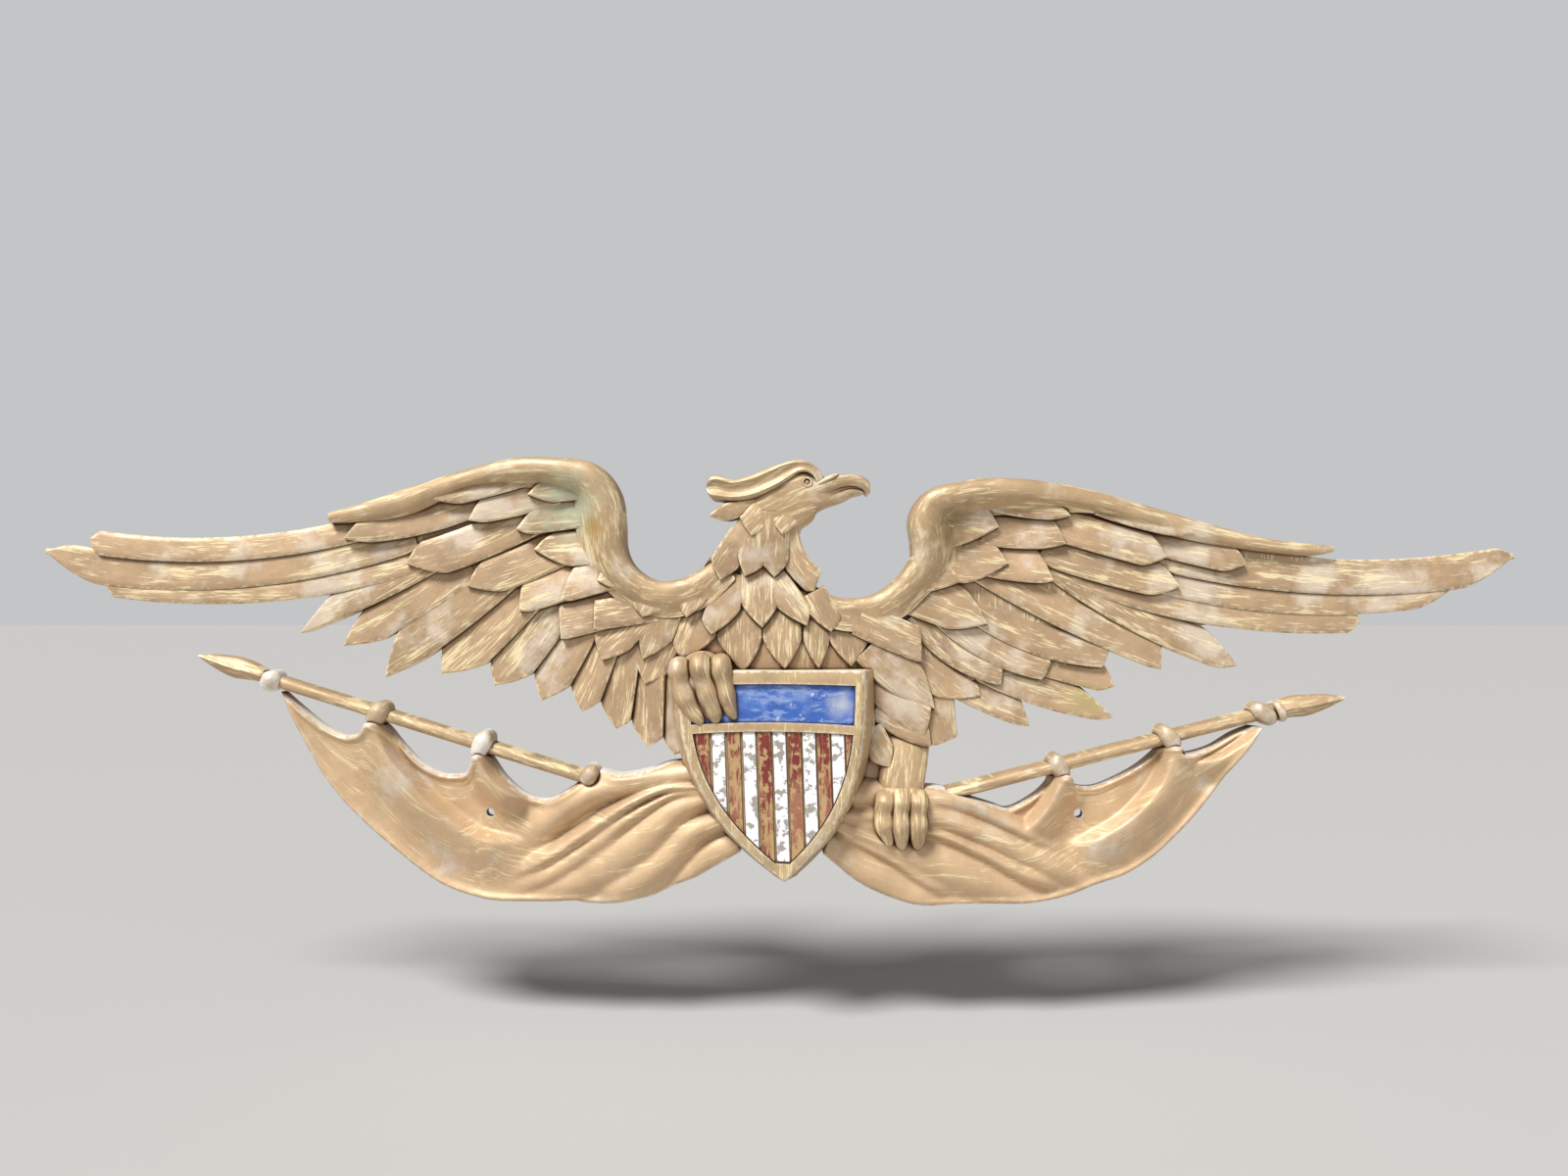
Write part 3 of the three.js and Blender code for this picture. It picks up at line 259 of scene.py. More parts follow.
CREST = [[-35.6, 92, 4.6, 17.5], [-31.5, 92.2, 5.6, 18.5], [-24, 90.9, 4.9, 19], [-15, 92.4, 5.3, 19.5],
         [-5, 96.6, 5, 20], [0, 99.2, 4.3, 20], [6, 101.6, 3, 20], [11, 101.3, 2.4, 20],
         [14.6, 98.8, 2.1, 19.5], [16.3, 95.5, 1.8, 19], [16.5, 92.5, 1.2, 18.5]]
UPPER_BEAK = [[12, 91, 4.5, 18.5], [20, 93.8, 3.9, 18.5], [26, 95.2, 2.9, 18], [32, 95.5, 2.6, 17.5],
              [36, 94.3, 2.7, 17], [38.2, 91.5, 1.6, 16], [38.9, 88.9, 0.5, 15]]
LOWER_BEAK = [[8, 81.5, 2.2, 17], [14, 83.8, 2.2, 17], [20, 86.5, 2.2, 16.5], [26, 89, 1.9, 16],
              [32, 90.6, 1.5, 15.5], [37, 90.2, 0.8, 14.5]]
NOSTRIL = [[14.5, 93.2, 0.6, 18.6], [18, 95, 0.9, 19.2], [22.5, 97.2, 0.9, 19], [25, 98.3, 0.5, 18]]
EYE = dict(x=10.5, z=94.5, height=18.6, radius=2.5, pupil=1.1)

TOES = [
    [[-47.5, 14.5, 4, 24.6], [-47.6, 8.5, 5.2, 27.2], [-46.9, 2.6, 4.6, 26], [-44.8, -3.4, 5.1, 27.2],
     [-42, -8.6, 4.4, 25.8], [-39.4, -12.5, 3.6, 25.2], [-37, -15.8, 1.4, 23.5]],
    [[-38.5, 16.5, 4, 24.6], [-38, 10, 5.5, 28], [-36.6, 4, 4.9, 26.6], [-34.6, -2.2, 5.1, 27.7],
     [-32.4, -8, 4.4, 26.2], [-31.4, -12, 3.6, 25.4], [-31, -15.6, 1.4, 23.5]],
    [[-29.5, 16, 4, 24.6], [-28.8, 9.5, 5.1, 27.5], [-27.6, 3.5, 4.5, 26.2], [-26.2, -2.6, 4.5, 27],
     [-24.8, -7.6, 3.4, 25.6], [-23.6, -10.8, 2.6, 24.8], [-21.8, -13.6, 1, 23.5]],
    [[46.8, -46.5, 4, 17.5], [46.6, -51.5, 4.7, 21.8], [46, -57, 4.3, 20.6], [46.2, -62.5, 4.7, 22],
     [47.4, -67, 3.6, 20], [48.8, -72.4, 1.6, 17.5]],
    [[54, -45.5, 4, 17.5], [53.9, -51.5, 4.7, 22.3], [53.5, -57.2, 4.3, 21.2], [53.4, -62.8, 4.7, 22.5],
     [53.8, -68.4, 3.6, 20.4], [54.2, -74.4, 1.6, 17.5]],
    [[61.2, -46.5, 4, 17.5], [61.4, -51.5, 4.7, 22.1], [61.1, -57.2, 4.3, 21], [61.3, -62.8, 4.7, 22.3],
     [61.4, -68.4, 3.6, 20.4], [61.4, -74.2, 1.6, 17.5]],
]
PALMS = [
    [[-38, 17, 9, 17], [-37.5, 8, 12, 24], [-35.5, 0, 11.3, 24], [-33, -8, 9, 23.5], [-31.5, -14, 6, 22]],
    [[54, -42, 9, 14], [54, -50, 11, 18.5], [53.5, -60, 11, 18], [54, -69, 8, 16]],
]
LEG = [[58, -12, 11, 7], [57.5, -22, 11, 9.5], [56.6, -30, 11, 12.3], [55.4, -38, 10.8, 14.6],
       [54.5, -44, 10.6, 16], [54.3, -50, 10.6, 16.5]]

STAFFS = [
    [[-240, 3.2, 2.7, 8.5], [-88, -43.8, 2.7, 11]],
    [[230, -11.2, 3.1, 8.5], [66, -52.4, 3.1, 13]],
]
SPEARHEADS = [
    [[-274, 14.5, 0.4, 6.5], [-266, 11.7, 3, 8], [-257, 8.8, 4.7, 9], [-250, 7, 4, 9],
     [-243, 4.5, 2.6, 8.5]],
    [[262.5, -5.3, 0.5, 6.5], [255, -6.8, 2.8, 8], [245, -9, 4.6, 9], [238, -9.8, 4.7, 9],
     [231, -11.6, 3.4, 8.5]],
]
KNOTS = [
    [[-236.5, 7, 2, 9], [-238.5, 4, 4.5, 12], [-241, 0.5, 3.8, 11.5], [-242.5, -1.3, 2, 9]],
    [[-185.5, -7.5, 2.5, 9], [-188, -11, 4.5, 12.5], [-191, -15.5, 4, 12], [-192.5, -18.5, 2.5, 9]],
    [[-138, -20.5, 2, 10], [-139.5, -24.5, 4.3, 13.5], [-142, -30, 3.8, 13], [-143, -34, 2.2, 10]],
    [[-88, -36.5, 2.2, 12], [-89.5, -39.5, 3.6, 14.5], [-91, -43, 3.6, 14], [-92, -46, 2.5, 11]],
    [[229.5, -7.5, 1.8, 9], [231.5, -12, 2.4, 11], [233, -16.3, 1.6, 9]],
    [[217.5, -10, 2, 9], [221, -11, 3.9, 12], [225.5, -14, 4, 12], [227, -18, 2.4, 10]],
    [[174, -20, 2, 10], [177, -21.5, 3.8, 13], [181, -26, 3.8, 13], [182.5, -29.5, 2.2, 10]],
    [[123.5, -32.5, 2, 10], [126, -34.5, 3.8, 13], [129, -39, 4, 13], [131, -43.5, 2.6, 11]],
]

# Cloth of a flag and its gathered folds: knots along its lower edge and the matching ones on its upper
# edge, its dish heights from the spearhead to the shield, its folds as x, z, half width and height,
# and its creases, which fall steeply on one side.
LEFT_CLOTH = dict(
    lower=[[-235.5, -2.5], [-231, -14], [-225, -26], [-216, -42], [-206, -55], [-200, -61], [-195, -66],
           [-183, -76.5], [-170, -87], [-160, -93.5], [-150, -97.5], [-143, -99.5], [-139, -100.3],
           [-134, -100.8], [-130, -101], [-120, -100.8], [-110, -100.3], [-103, -100], [-97, -100],
           [-92, -101], [-80, -101], [-70, -99.5], [-60, -97], [-50, -92], [-40, -88], [-30, -82],
           [-20, -76]],
    upper=[[-234, -3], [-225, -11], [-215, -19], [-205, -23], [-197, -21], [-193.5, -16.5],
           [-186.5, -18], [-178, -28], [-170, -36], [-160, -41], [-150, -41], [-146, -37], [-143.5, -31.5],
           [-138, -32], [-130, -43], [-120, -51], [-110, -52.5], [-100, -47.5], [-94, -43], [-86, -39],
           [-78, -40.5], [-70, -40], [-60, -37.5], [-52.5, -35], [-42, -34], [-32, -34], [-22, -34]],
    dish=[6, 4.6, 4, 4, 4.6, 6, 7.5, 8.2, 9],
    folds=[
        [[-30, -40, 5.5, 15.5], [-42, -40, 5.5, 15], [-60, -43, 5.5, 14.5], [-80, -46.5, 5.5, 13.5],
         [-98, -54, 6, 12.5], [-113, -66, 6, 11], [-124, -80, 5, 9]],
        [[-28, -45.5, 2.5, 16], [-42, -45.7, 2.5, 16], [-56, -46.8, 2.6, 15.5], [-72, -54, 3.2, 15],
         [-92, -67.5, 3.6, 14], [-112, -80.5, 3.6, 12], [-134, -92, 2.5, 9.5]],
        [[-28, -48, 2.2, 15], [-40, -48.3, 2.2, 15], [-54, -50.5, 2.8, 14.5], [-72, -61, 4.5, 14],
         [-90, -75, 5.5, 13], [-110, -88, 5, 11.5], [-132, -96, 4, 9]],
        [[-30, -50, 4.5, 16], [-50, -57, 6.5, 15.5], [-66, -72, 9, 15], [-84, -84, 8.5, 13.5],
         [-108, -95, 6, 11], [-128, -99, 2, 8]],
        [[-24, -60, 5, 16], [-42, -67, 6, 15.5], [-56, -81, 7, 14.5], [-74, -92.5, 6, 12.5],
         [-96, -100, 3, 8]],
        [[-12, -70, 5, 14], [-30, -76, 6.5, 14], [-42, -84.5, 4.5, 12.5], [-56, -94.5, 3, 9]],
    ],
    creases=[
        ([[-190.5, -16, 14], [-183, -32, 14], [-173, -44, 14], [-163, -55, 13.6], [-150, -65, 13],
          [-140, -70.5, 12.2], [-127, -72.5, 11], [-112, -72, 9.5]], -1, 3.6, 24),
        ([[-141, -32, 15], [-137, -41, 14.5], [-130, -48, 13.5], [-120, -54.5, 11.5]], -1, 3.6, 16),
    ],
)
RIGHT_CLOTH = dict(
    lower=[[222.5, -19], [217, -28], [210, -37.5], [205, -45], [200, -52], [197, -56], [193, -61],
           [185, -69.5], [175, -79], [165, -86], [158, -89.5], [152, -91.5], [147, -93], [143, -94.5],
           [138, -96.5], [130, -99], [122, -100.5], [115, -101.3], [108, -101.5], [100, -101.5],
           [90, -101.5], [80, -101.5], [65, -102], [50, -98], [35, -91], [25, -83], [18, -77]],
    upper=[[218.5, -18.5], [210, -22], [200, -28], [190, -31], [184.5, -30.5], [183.5, -27.5],
           [176, -27.5], [173, -31], [165, -37.5], [155, -43], [145, -46.8], [136, -46], [132.5, -41],
           [125, -40.5], [123, -45], [118, -50], [110, -55], [104, -57], [98, -55], [90, -52.5],
           [84, -50.5], [72, -46.5], [60, -46], [48, -44], [38, -42], [30, -42], [22, -42]],
    dish=[6, 4.6, 4, 4, 4.6, 6, 7.5, 8.2, 9],
    folds=[
        [[22, -48, 6.5, 15], [46, -50, 6.5, 15.5], [66, -52, 5.5, 15], [84, -54.5, 4, 13.5],
         [108, -65.5, 3.4, 12.5], [136, -82, 2.5, 10]],
        [[22, -58, 3.5, 15], [46, -60, 5, 15.5], [66, -58.5, 6, 15.5], [88, -66, 5.5, 14.5],
         [112, -77.5, 6.5, 12.5], [134, -88.5, 5.5, 10.5], [152, -91, 2.5, 8]],
        [[36, -64, 2.4, 15], [66, -66.5, 2.6, 14.5], [88, -74.8, 3, 14], [112, -87, 3.8, 12],
         [138, -96.5, 2, 9]],
        [[22, -62, 4, 15], [44, -71, 5.5, 15], [64, -79, 9, 14.5], [88, -88, 9, 13.5],
         [112, -97, 5.5, 10.5], [128, -99.5, 2, 8]],
        [[28, -69, 2, 14], [50, -79.5, 2.6, 14], [66, -90.5, 3, 13], [82, -98.8, 2, 10.5]],
        [[14, -70, 6, 14], [30, -79.5, 7.8, 14], [44, -88, 7, 13.5], [60, -96.5, 5, 11.5],
         [80, -101, 2, 8]],
    ],
    creases=[
        ([[180, -26, 14], [179, -34, 14], [175.5, -43, 14], [170.5, -50.5, 14], [160, -61.5, 13],
          [150, -68, 12.4], [140, -73, 11.6], [128, -75.5, 10.5]], 1, 3.6, 24),
        ([[129, -42, 15], [122, -55, 14.5], [115, -64, 13.5], [108, -70, 12]], 1, 3.6, 16),
        ([[222, -19, 10.5], [212, -28, 11], [203, -33.5, 11], [192, -35.5, 10.5], [184, -35, 10]], 1, 3.5, 12),
    ],
)
SCREW_HOLE = 2.1
SCREW_PLACES = [[-137.5, -59], [138, -59.7]]

# The shield narrows from its top width along a power curve on either side of its point
SHIELD = dict(top=8.6, bottom=-87, left=47.5, right=36.5, left_power=2.8, right_power=3.1, height=24.2,
              lean=0.03, flare_left=4.3, flare_right=5.4, flare_depth=12, rim=4.2, top_rim=6.8,
              sunk=1.6, bar_top=-16.6, bar_bottom=-20.8)
STRIPES = dict(first=-37.2, pitch=7.15, shrink=0.075, width=5.6, drift=0.035, raised=0.7)


# Shapes

def ground_height(x, z):
    """Height of the ground that the feathers lie on."""
    out = np.minimum(1, np.abs(x) / HALF_SPAN)
    wing = TIP_HEIGHT + (SHOULDER_HEIGHT - TIP_HEIGHT) * (1 - out) ** 1.3
    breast = np.hypot((x - BREAST["x"]) / BREAST["reach"], (z - BREAST["z"]) / BREAST["drop"])
    dish = np.hypot(np.abs(x) - INNER_DISH["x"], z - INNER_DISH["z"]) / INNER_DISH["reach"]
    return wing + BREAST["rise"] * np.exp(-breast ** 2) - INNER_DISH["depth"] * np.exp(-dish ** 2)


def along(knots, t):
    """Catmull-Rom values at each t from 0 to 1 through knots of any number of values."""
    knots = np.asarray(knots, float)
    t = np.atleast_1d(t)
    spans = len(knots) - 1
    i = np.minimum(spans - 1, np.floor(t * spans).astype(int))
    f = (t * spans - i)[:, None]
    a, b, c, d = (knots[np.clip(i + k, 0, spans)] for k in (-1, 0, 1, 2))
    bend = 2 * a - 5 * b + 4 * c - d
    twist = -a + 3 * b - 3 * c + d
    return 0.5 * (2 * b + (c - a) * f + bend * f ** 2 + twist * f ** 3)


def ease(t):
    t = np.clip(t, 0, 1)
    return t * t * (3 - 2 * t)


def distance_to(line, points):
    """Distance from each point to a polyline, and the share of the line's length at the nearest place."""
    a, b = line[:-1], line[1:]
    step = b - a
    long = np.maximum(1e-9, np.sum(step ** 2, axis=1))
    away = points[:, None, :] - a[None]
    t = np.clip(np.sum(away * step, axis=2) / long, 0, 1)
    gap = np.linalg.norm(away - t[..., None] * step, axis=2)
    k = np.argmin(gap, axis=1)
    rows = np.arange(len(points))
    run = np.concatenate([[0], np.cumsum(np.sqrt(long))])
    share = (run[k] + t[rows, k] * (run[k + 1] - run[k])) / run[-1]
    return gap[rows, k], share


def relief(name, grid, paint, grain=None, rim=None, tone=0.5):
    """A closed body whose front is a grid of x, z, height, with straight walls to behind the back."""
    rows, across = grid.shape[:2]
    at = np.arange(rows * across).reshape(rows, across)
    front = np.stack([at[:-1, :-1], at[:-1, 1:], at[1:, 1:], at[1:, :-1]], -1).reshape(-1, 4)
    loop = np.concatenate([at[0, :], at[1:, -1], at[-1, -2::-1], at[-2:0:-1, 0]])
    flat = grid.reshape(-1, 3)
    x, z = flat[loop, 0], flat[loop, 1]
    if np.sum(x * np.roll(z, -1) - np.roll(x, -1) * z) < 0:
        front, loop = front[:, ::-1], loop[::-1]
    count, edge = rows * across, len(loop)
    verts = np.concatenate([
        np.stack([flat[:, 0], -flat[:, 2], flat[:, 1]], -1),
        np.stack([flat[loop, 0], np.full(edge, OVERRUN), flat[loop, 1]], -1),
    ])
    back = count + np.arange(edge)
    walls = np.stack([loop, back, np.roll(back, -1), np.roll(loop, -1)], -1)
    faces = front.tolist() + walls.tolist() + [back[::-1].tolist()]
    mesh = bpy.data.meshes.new(name)
    mesh.from_pydata((verts * MM).tolist(), [], faces)
    grain = flat[:, :2] if grain is None else grain.reshape(-1, 2)
    rim = np.full(count, 9.0) if rim is None else rim.ravel()
    corner = np.empty(len(mesh.loops), int)
    mesh.loops.foreach_get("vertex_index", corner)
    grain = np.concatenate([grain, grain[loop]])[corner]
    rim = np.concatenate([rim, np.zeros(edge)])[corner]
    mesh.uv_layers.new(name="grain").data.foreach_set("uv", grain.astype(np.float32).ravel())
    put(mesh, "rim", rim)
    tone = np.broadcast_to(tone, grid.shape[:2]).ravel()
    put(mesh, "tone", np.concatenate([tone, tone[loop]])[corner])
    mesh.materials.append(bpy.data.materials[paint])
    return keep(name, mesh)


def put(mesh, name, values):
    mesh.attributes.new(name, "FLOAT", "CORNER").data.foreach_set("value", values.astype(np.float32))


def keep(name, mesh):
    """Puts a form with the others that the casting is joined from."""
    shape = bpy.data.objects.new(name, mesh)
    forms().objects.link(shape)
    return shape


def forms():
    """The collection of forms, outside the scene."""
    return bpy.data.collections.get("Plaque forms") or bpy.data.collections.new("Plaque forms")


def feather(name, row, values, tone):
    """One feather: a thin tilted blade with its tip cut to a point and its edges rounded."""
    tip_x, tip_z, heading, length, width, point, cut_a, cut_b, sag = values
    look = bpy.context.scene.plaque
    turn = math.radians(heading)
    ahead = np.array([math.cos(turn), math.sin(turn)])
    aside = np.array([-ahead[1], ahead[0]]) * row["side"]
    half = width / 2

    def normal(u):
        slope = 4 * sag * (1 - 2 * u) / length
        return (aside - ahead * slope[:, None]) / np.hypot(1, slope)[:, None]

    end = np.array([tip_x, tip_z]) - normal(np.array([1.0]))[0] * point * half
    root = end - ahead * length
    shoulder_a = 1 - cut_a / length
    shoulder_b = 1 - cut_b / length
    first = min(shoulder_a, shoulder_b)
    bevel = look.bevel_width / MM
    u = np.concatenate([
        np.linspace(0, first, max(3, int(first * length / look.feather_step * MM) + 1)),
        np.linspace(first, 1, max(5, int((1 - first) * length / 1.6) + 2)),
        [shoulder_a, shoulder_b, 1 - bevel / length, 1 - 0.4 * bevel / length],
    ])
    u = np.unique(np.round(u, 5))
    u = u[np.concatenate([[True], np.diff(u) * length > 0.12])]
    u[-1] = 1.0

    def taper(shoulder):
        return np.maximum(0, (u - shoulder) / (1 - shoulder)) ** 1.45

    low = np.minimum(-1 + (point + 1) * taper(shoulder_a), point - row["blunt"])
    high = np.maximum(1 - (1 - point) * taper(shoulder_b), point + row["blunt"])
    inner = np.linspace(0, 1, 7)
    ring = np.minimum(bevel / half, (high - low) * 0.3)
    v = np.concatenate([
        low[:, None],
        (low + 0.35 * ring)[:, None],
        (low + ring)[:, None] + (high - low - 2 * ring)[:, None] * inner,
        (high - 0.35 * ring)[:, None],
        high[:, None],
    ], axis=1)
    side = normal(u)
    spine = root + ahead * length * u[:, None] + aside * (4 * sag * u * (1 - u))[:, None]
    place = spine[:, None, :] + side[:, None, :] * (v * half)[..., None]
    x, z = place[..., 0], place[..., 1]
    flat = place.reshape(-1, 2)
    outline = np.concatenate([place[:, 0], place[::-1, -1]])
    rim = distance_to(outline, flat)[0].reshape(x.shape)
    base = ground_height(x, z) if row["level"] is None else row["level"]
    sunk = row["sunk"] * (1 - u[:, None]) ** 1.3
    height = base + row["lift"] + row["tilt"] * v + row["crown"] * (1 - v ** 2) - sunk
    height = height - look.bevel_depth / MM * (1 - np.clip(rim / bevel, 0, 1)) ** 2
    grain = np.stack([u[:, None] * length + 0 * v, v * half], -1)
    return relief(name, np.stack([x, z, height], -1), row.get("paint", "Worn gold paint"), grain, rim, tone)


def roll(name, knots, paint, bulge=0.6, hollow=0.0, across=14, step=1.6, foot=None, keel=0.0, caps=(0, 0),
         tone=0.5):
    """A rounded strip through knots of x, z, half width, height. foot is the side on which it runs out
    into the ground, and the lift above the ground there; a fifth knot value says how far it runs.
    caps are the lengths over which the strip's start and end are rounded off."""
    knots = np.asarray(knots, float)
    size = np.sum(np.hypot(*np.diff(knots[:, :2], axis=0).T))
    arc = 1 - np.cos(np.linspace(0, np.pi / 2, 9))
    t = np.linspace(0, 1, max(6, int(size / step)))
    t = np.unique(np.concatenate([t, caps[0] / size * arc, 1 - caps[1] / size * arc]))
    x, z, half, height = along(knots, t)[:, :4].T[..., None]
    for reach, gap in zip(caps, (t * size, (1 - t) * size)):
        away = np.clip(1 - gap / max(reach, 0.01), 0, 1)[:, None]
        rounded = np.maximum(0.05, np.sqrt(1 - away ** 2))
        height = height - bulge * half * (1 - rounded)
        half = half * rounded
    ahead = along(knots, np.minimum(1, t + 0.01)) - along(knots, np.maximum(0, t - 0.01))
    dx, dz = (ahead[:, :2] / np.linalg.norm(ahead[:, :2], axis=1)[:, None]).T[..., None]
    v = -np.cos(np.pi * np.arange(across + 1) / across)[None, :] + 0 * t[:, None]
    if foot:
        reach = np.maximum(0, along(knots, t)[:, 4:5])
        share = ease(reach / 4)
        side, lift = foot
        turned = v * side
        out = np.clip((turned - 0.2) / 0.8, 0, 1)
        far = (1 - share) * 1 + share * (0.2 + reach / half)
        v = np.where(turned > 0.2, side * (0.2 + out * (far - 0.2)), v)
    px = x - dz * half * v
    pz = z + dx * half * v
    round_v = np.clip(v, -1, 1)
    fall = bulge * half * (1 - np.sqrt(np.maximum(0, 1 - round_v ** 2))) + keel * half * np.abs(v)
    press = hollow * half * np.maximum(0, 1 - (v / 0.62) ** 2)
    rise = height - fall - press
    if foot:
        crown = height - bulge * half * 0.02
        run_out = crown + (ground_height(px, pz) + lift - crown) * ease(out)
        rise = np.where(turned > 0.2, share * run_out + (1 - share) * rise, rise)
    grain = np.stack([t[:, None] * size + 0 * v, v * half], -1)
    return relief(name, np.stack([px, pz, rise], -1), paint, grain, None, tone)


def sheet(name, edge_a, edge_b, height, paint, rows=24, across=13, tone=0.5):
    """A sheet between two edges; height(x, z, u, v) gives its height."""
    u = np.linspace(0, 1, rows)
    v = np.linspace(0, 1, across)
    a, b = along(edge_a, u), along(edge_b, u)
    place = a[:, None, :] + (b - a)[:, None, :] * v[None, :, None]
    x, z = place[..., 0], place[..., 1]
    rise = height(x, z, u[:, None] + 0 * v, v + 0 * u[:, None])
    return relief(name, np.stack([x, z, rise], -1), paint, np.stack([z, x], -1), None, tone)


def cloth(name, flag, hand):
    """A flag: a dished sheet with a thin rolled edge, steep creases under its knots, and the folds
    that gather it towards the shield."""
    rows, across = 220, 100
    u = np.linspace(0, 1, rows)
    v = 0.5 - 0.5 * np.cos(np.pi * np.linspace(0, 1, across))
    v = 0.5 * v + 0.5 * np.linspace(0, 1, across)
    lower, upper = along(flag["lower"], u), along(flag["upper"], u)
    place = lower[:, None, :] + (upper - lower)[:, None, :] * v[None, :, None]
    points = place.reshape(-1, 2)
    dish = along(np.array(flag["dish"], float)[:, None], u)[:, 0]
    base = (dish[:, None] + 0 * v).ravel()
    layers = [base]
    for knots in flag["folds"]:
        line = along(knots, np.linspace(0, 1, 50))
        gap, share = distance_to(line[:, :2], points)
        _, _, half, height = along(knots, share).T
        reach = half * 1.35
        start = ease((1 - share) / 0.22)
        bump = np.maximum(0, 1 - (gap / reach) ** 2) ** 1.15
        layers.append(base + (height - base) * bump * start)
    for knots, side, steep, gentle in flag["creases"]:
        line = along(knots, np.linspace(0, 1, 50))
        gap, share = distance_to(line[:, :2], points)
        height = along(knots, share)[:, 2]
        k = np.clip((share * 49).astype(int), 0, 48)
        step = line[k + 1, :2] - line[k, :2]
        away = points - line[k, :2]
        turn = np.sign(step[:, 0] * away[:, 1] - step[:, 1] * away[:, 0]) * side
        reach = np.where(turn > 0, gentle, steep)
        fade = ease((1 - share) / 0.25)
        layers.append(base + (height - base) * (1 - ease(gap / reach)) * fade)
    excess = np.maximum(0, np.stack(layers) - base)
    height = base + np.sum(excess ** 6, axis=0) ** (1 / 6)
    outline = np.concatenate([lower, upper[::-1]])
    rim = distance_to(outline, points)[0]
    lip = np.exp(-((rim - 1.6) / 1.7) ** 2) * 1.6 * ease((1 - np.repeat(u, across)) / 0.35)
    height = height + lip
    for _ in range(2):
        wide = np.pad(height.reshape(rows, across), 1, mode="edge")
        wide = (wide[:-2] + 2 * wide[1:-1] + wide[2:]) / 4
        height = ((wide[:, :-2] + 2 * wide[:, 1:-1] + wide[:, 2:]) / 4).ravel()
    height = height - 1.3 * (1 - np.clip(rim / 1.5, 0, 1)) ** 2
    grid = np.concatenate([points, height[:, None]], 1).reshape(rows, across, 3)
    run = np.repeat(u, across) * 230
    grain = np.stack([run, np.tile(v, rows) * 60], -1)
    return relief(name, grid, "Cloth paint", grain, rim.reshape(rows, across), 0.5)


# The shield

def shield_edge(side, depth):
    """Face edge of the shield at a depth from 0 at its top to 1 at its point."""
    power = SHIELD["left_power"] if side < 0 else SHIELD["right_power"]
    reach = -SHIELD["left"] if side < 0 else SHIELD["right"]
    return np.stack([reach * (1 - depth ** power), SHIELD["top"] + (SHIELD["bottom"] - SHIELD["top"]) * depth], -1)


def shield_inset(side, depth, inset):
    """The face edge moved inwards."""
    before = shield_edge(side, np.maximum(0, depth - 0.01))
    after = shield_edge(side, np.minimum(1, depth + 0.01))
    run = (after - before) / np.linalg.norm(after - before, axis=1)[:, None]
    return shield_edge(side, depth) + side * inset * np.stack([run[:, 1], -run[:, 0]], -1)


def shield_block():
    depth = np.linspace(0, 1, 64) ** 0.8
    left, right = shield_edge(-1, depth), shield_edge(1, depth)
    spread = np.where(depth == 1, 0.35, 0)
    low = SHIELD["height"] - SHIELD["flare_depth"]
    t = np.concatenate([[0, 0.012, 0.035], np.linspace(0.07, 0.93, 12), [0.965, 0.988, 1]])
    x = (left[:, 0] - spread)[:, None] * (1 - t) + (right[:, 0] + spread)[:, None] * t
    z = left[:, 1][:, None] + 0 * t
    outline = np.concatenate([left, right[::-1], left[:1]])
    rim = distance_to(outline, np.stack([x, z], -1).reshape(-1, 2))[0].reshape(x.shape)
    face = SHIELD["height"] + SHIELD["lean"] * x - 0.9 * (1 - np.clip(rim / 1.1, 0, 1)) ** 2
    feet = [x[:, :1] - SHIELD["flare_left"], x[:, -1:] + SHIELD["flare_right"]]
    x = np.concatenate([feet[0], x, feet[1]], 1)
    z = np.concatenate([z[:, :1], z, z[:, -1:]], 1)
    height = np.concatenate([np.full_like(feet[0], low), face, np.full_like(feet[1], low)], 1)
    rim = np.concatenate([rim[:, :1] + 4, rim, rim[:, -1:] + 4], 1)
    return relief("shield_block", np.stack([x, z, height], -1), "Worn gold frame", np.stack([z, x], -1), rim, 0.5)


def pocket(name, z_top, z_bottom, inset, floor, paint, top=40.0, arch=(0, 0)):
    """A closed prism between two heights inside the shield's rim, with arched upper and lower ends."""
    span = SHIELD["top"] - SHIELD["bottom"]
    first, last = (SHIELD["top"] - z_top) / span, (SHIELD["top"] - z_bottom) / span
    depth = first + (last - first) * np.linspace(0, 1, 40) ** 0.8
    left, right = shield_inset(-1, depth, inset), shield_inset(1, depth, inset)
    gap = np.maximum(0, 1.0 - (right[:, 0] - left[:, 0])) / 2
    sides = [[[x + g * hand, z] for (x, z), g in zip(edge, gap)] for edge, hand in ((left, -1), (right, 1))]
    share = np.linspace(0, 1, 13)[1:-1, None]
    ends = []
    for a, b, rise in ((left[-1], right[-1], arch[1]), (right[0], left[0], arch[0])):
        ends.append((a + (b - a) * share + rise * 4 * share * (1 - share) * [0, 1]).tolist() if rise else [])
    ring = sides[0] + ends[0] + sides[1][::-1] + ends[1]
    return prism(name, ring, floor, top, paint, SHIELD["lean"])


def prism(name, ring, low, high, paint, lean=0.0):
    """A closed prism over a ring of x, z points. Its low end may lean with x."""
    count = len(ring)
    x, z = np.array(ring).T
    if np.sum(x * np.roll(z, -1) - np.roll(x, -1) * z) < 0:
        ring = ring[::-1]
    verts = [(x * MM, -high * MM, z * MM) for x, z in ring]
    verts += [(x * MM, -(low + lean * x) * MM, z * MM) for x, z in ring]
    faces = [list(range(count)), list(range(2 * count - 1, count - 1, -1))]
    faces += [[k, count + k, count + (k + 1) % count, (k + 1) % count] for k in range(count)]
    mesh = bpy.data.meshes.new(name)
    mesh.from_pydata(verts, [], faces)
    mesh.materials.append(bpy.data.materials[paint])
    finish_corners(mesh)
    return bpy.data.objects.new(name, mesh)


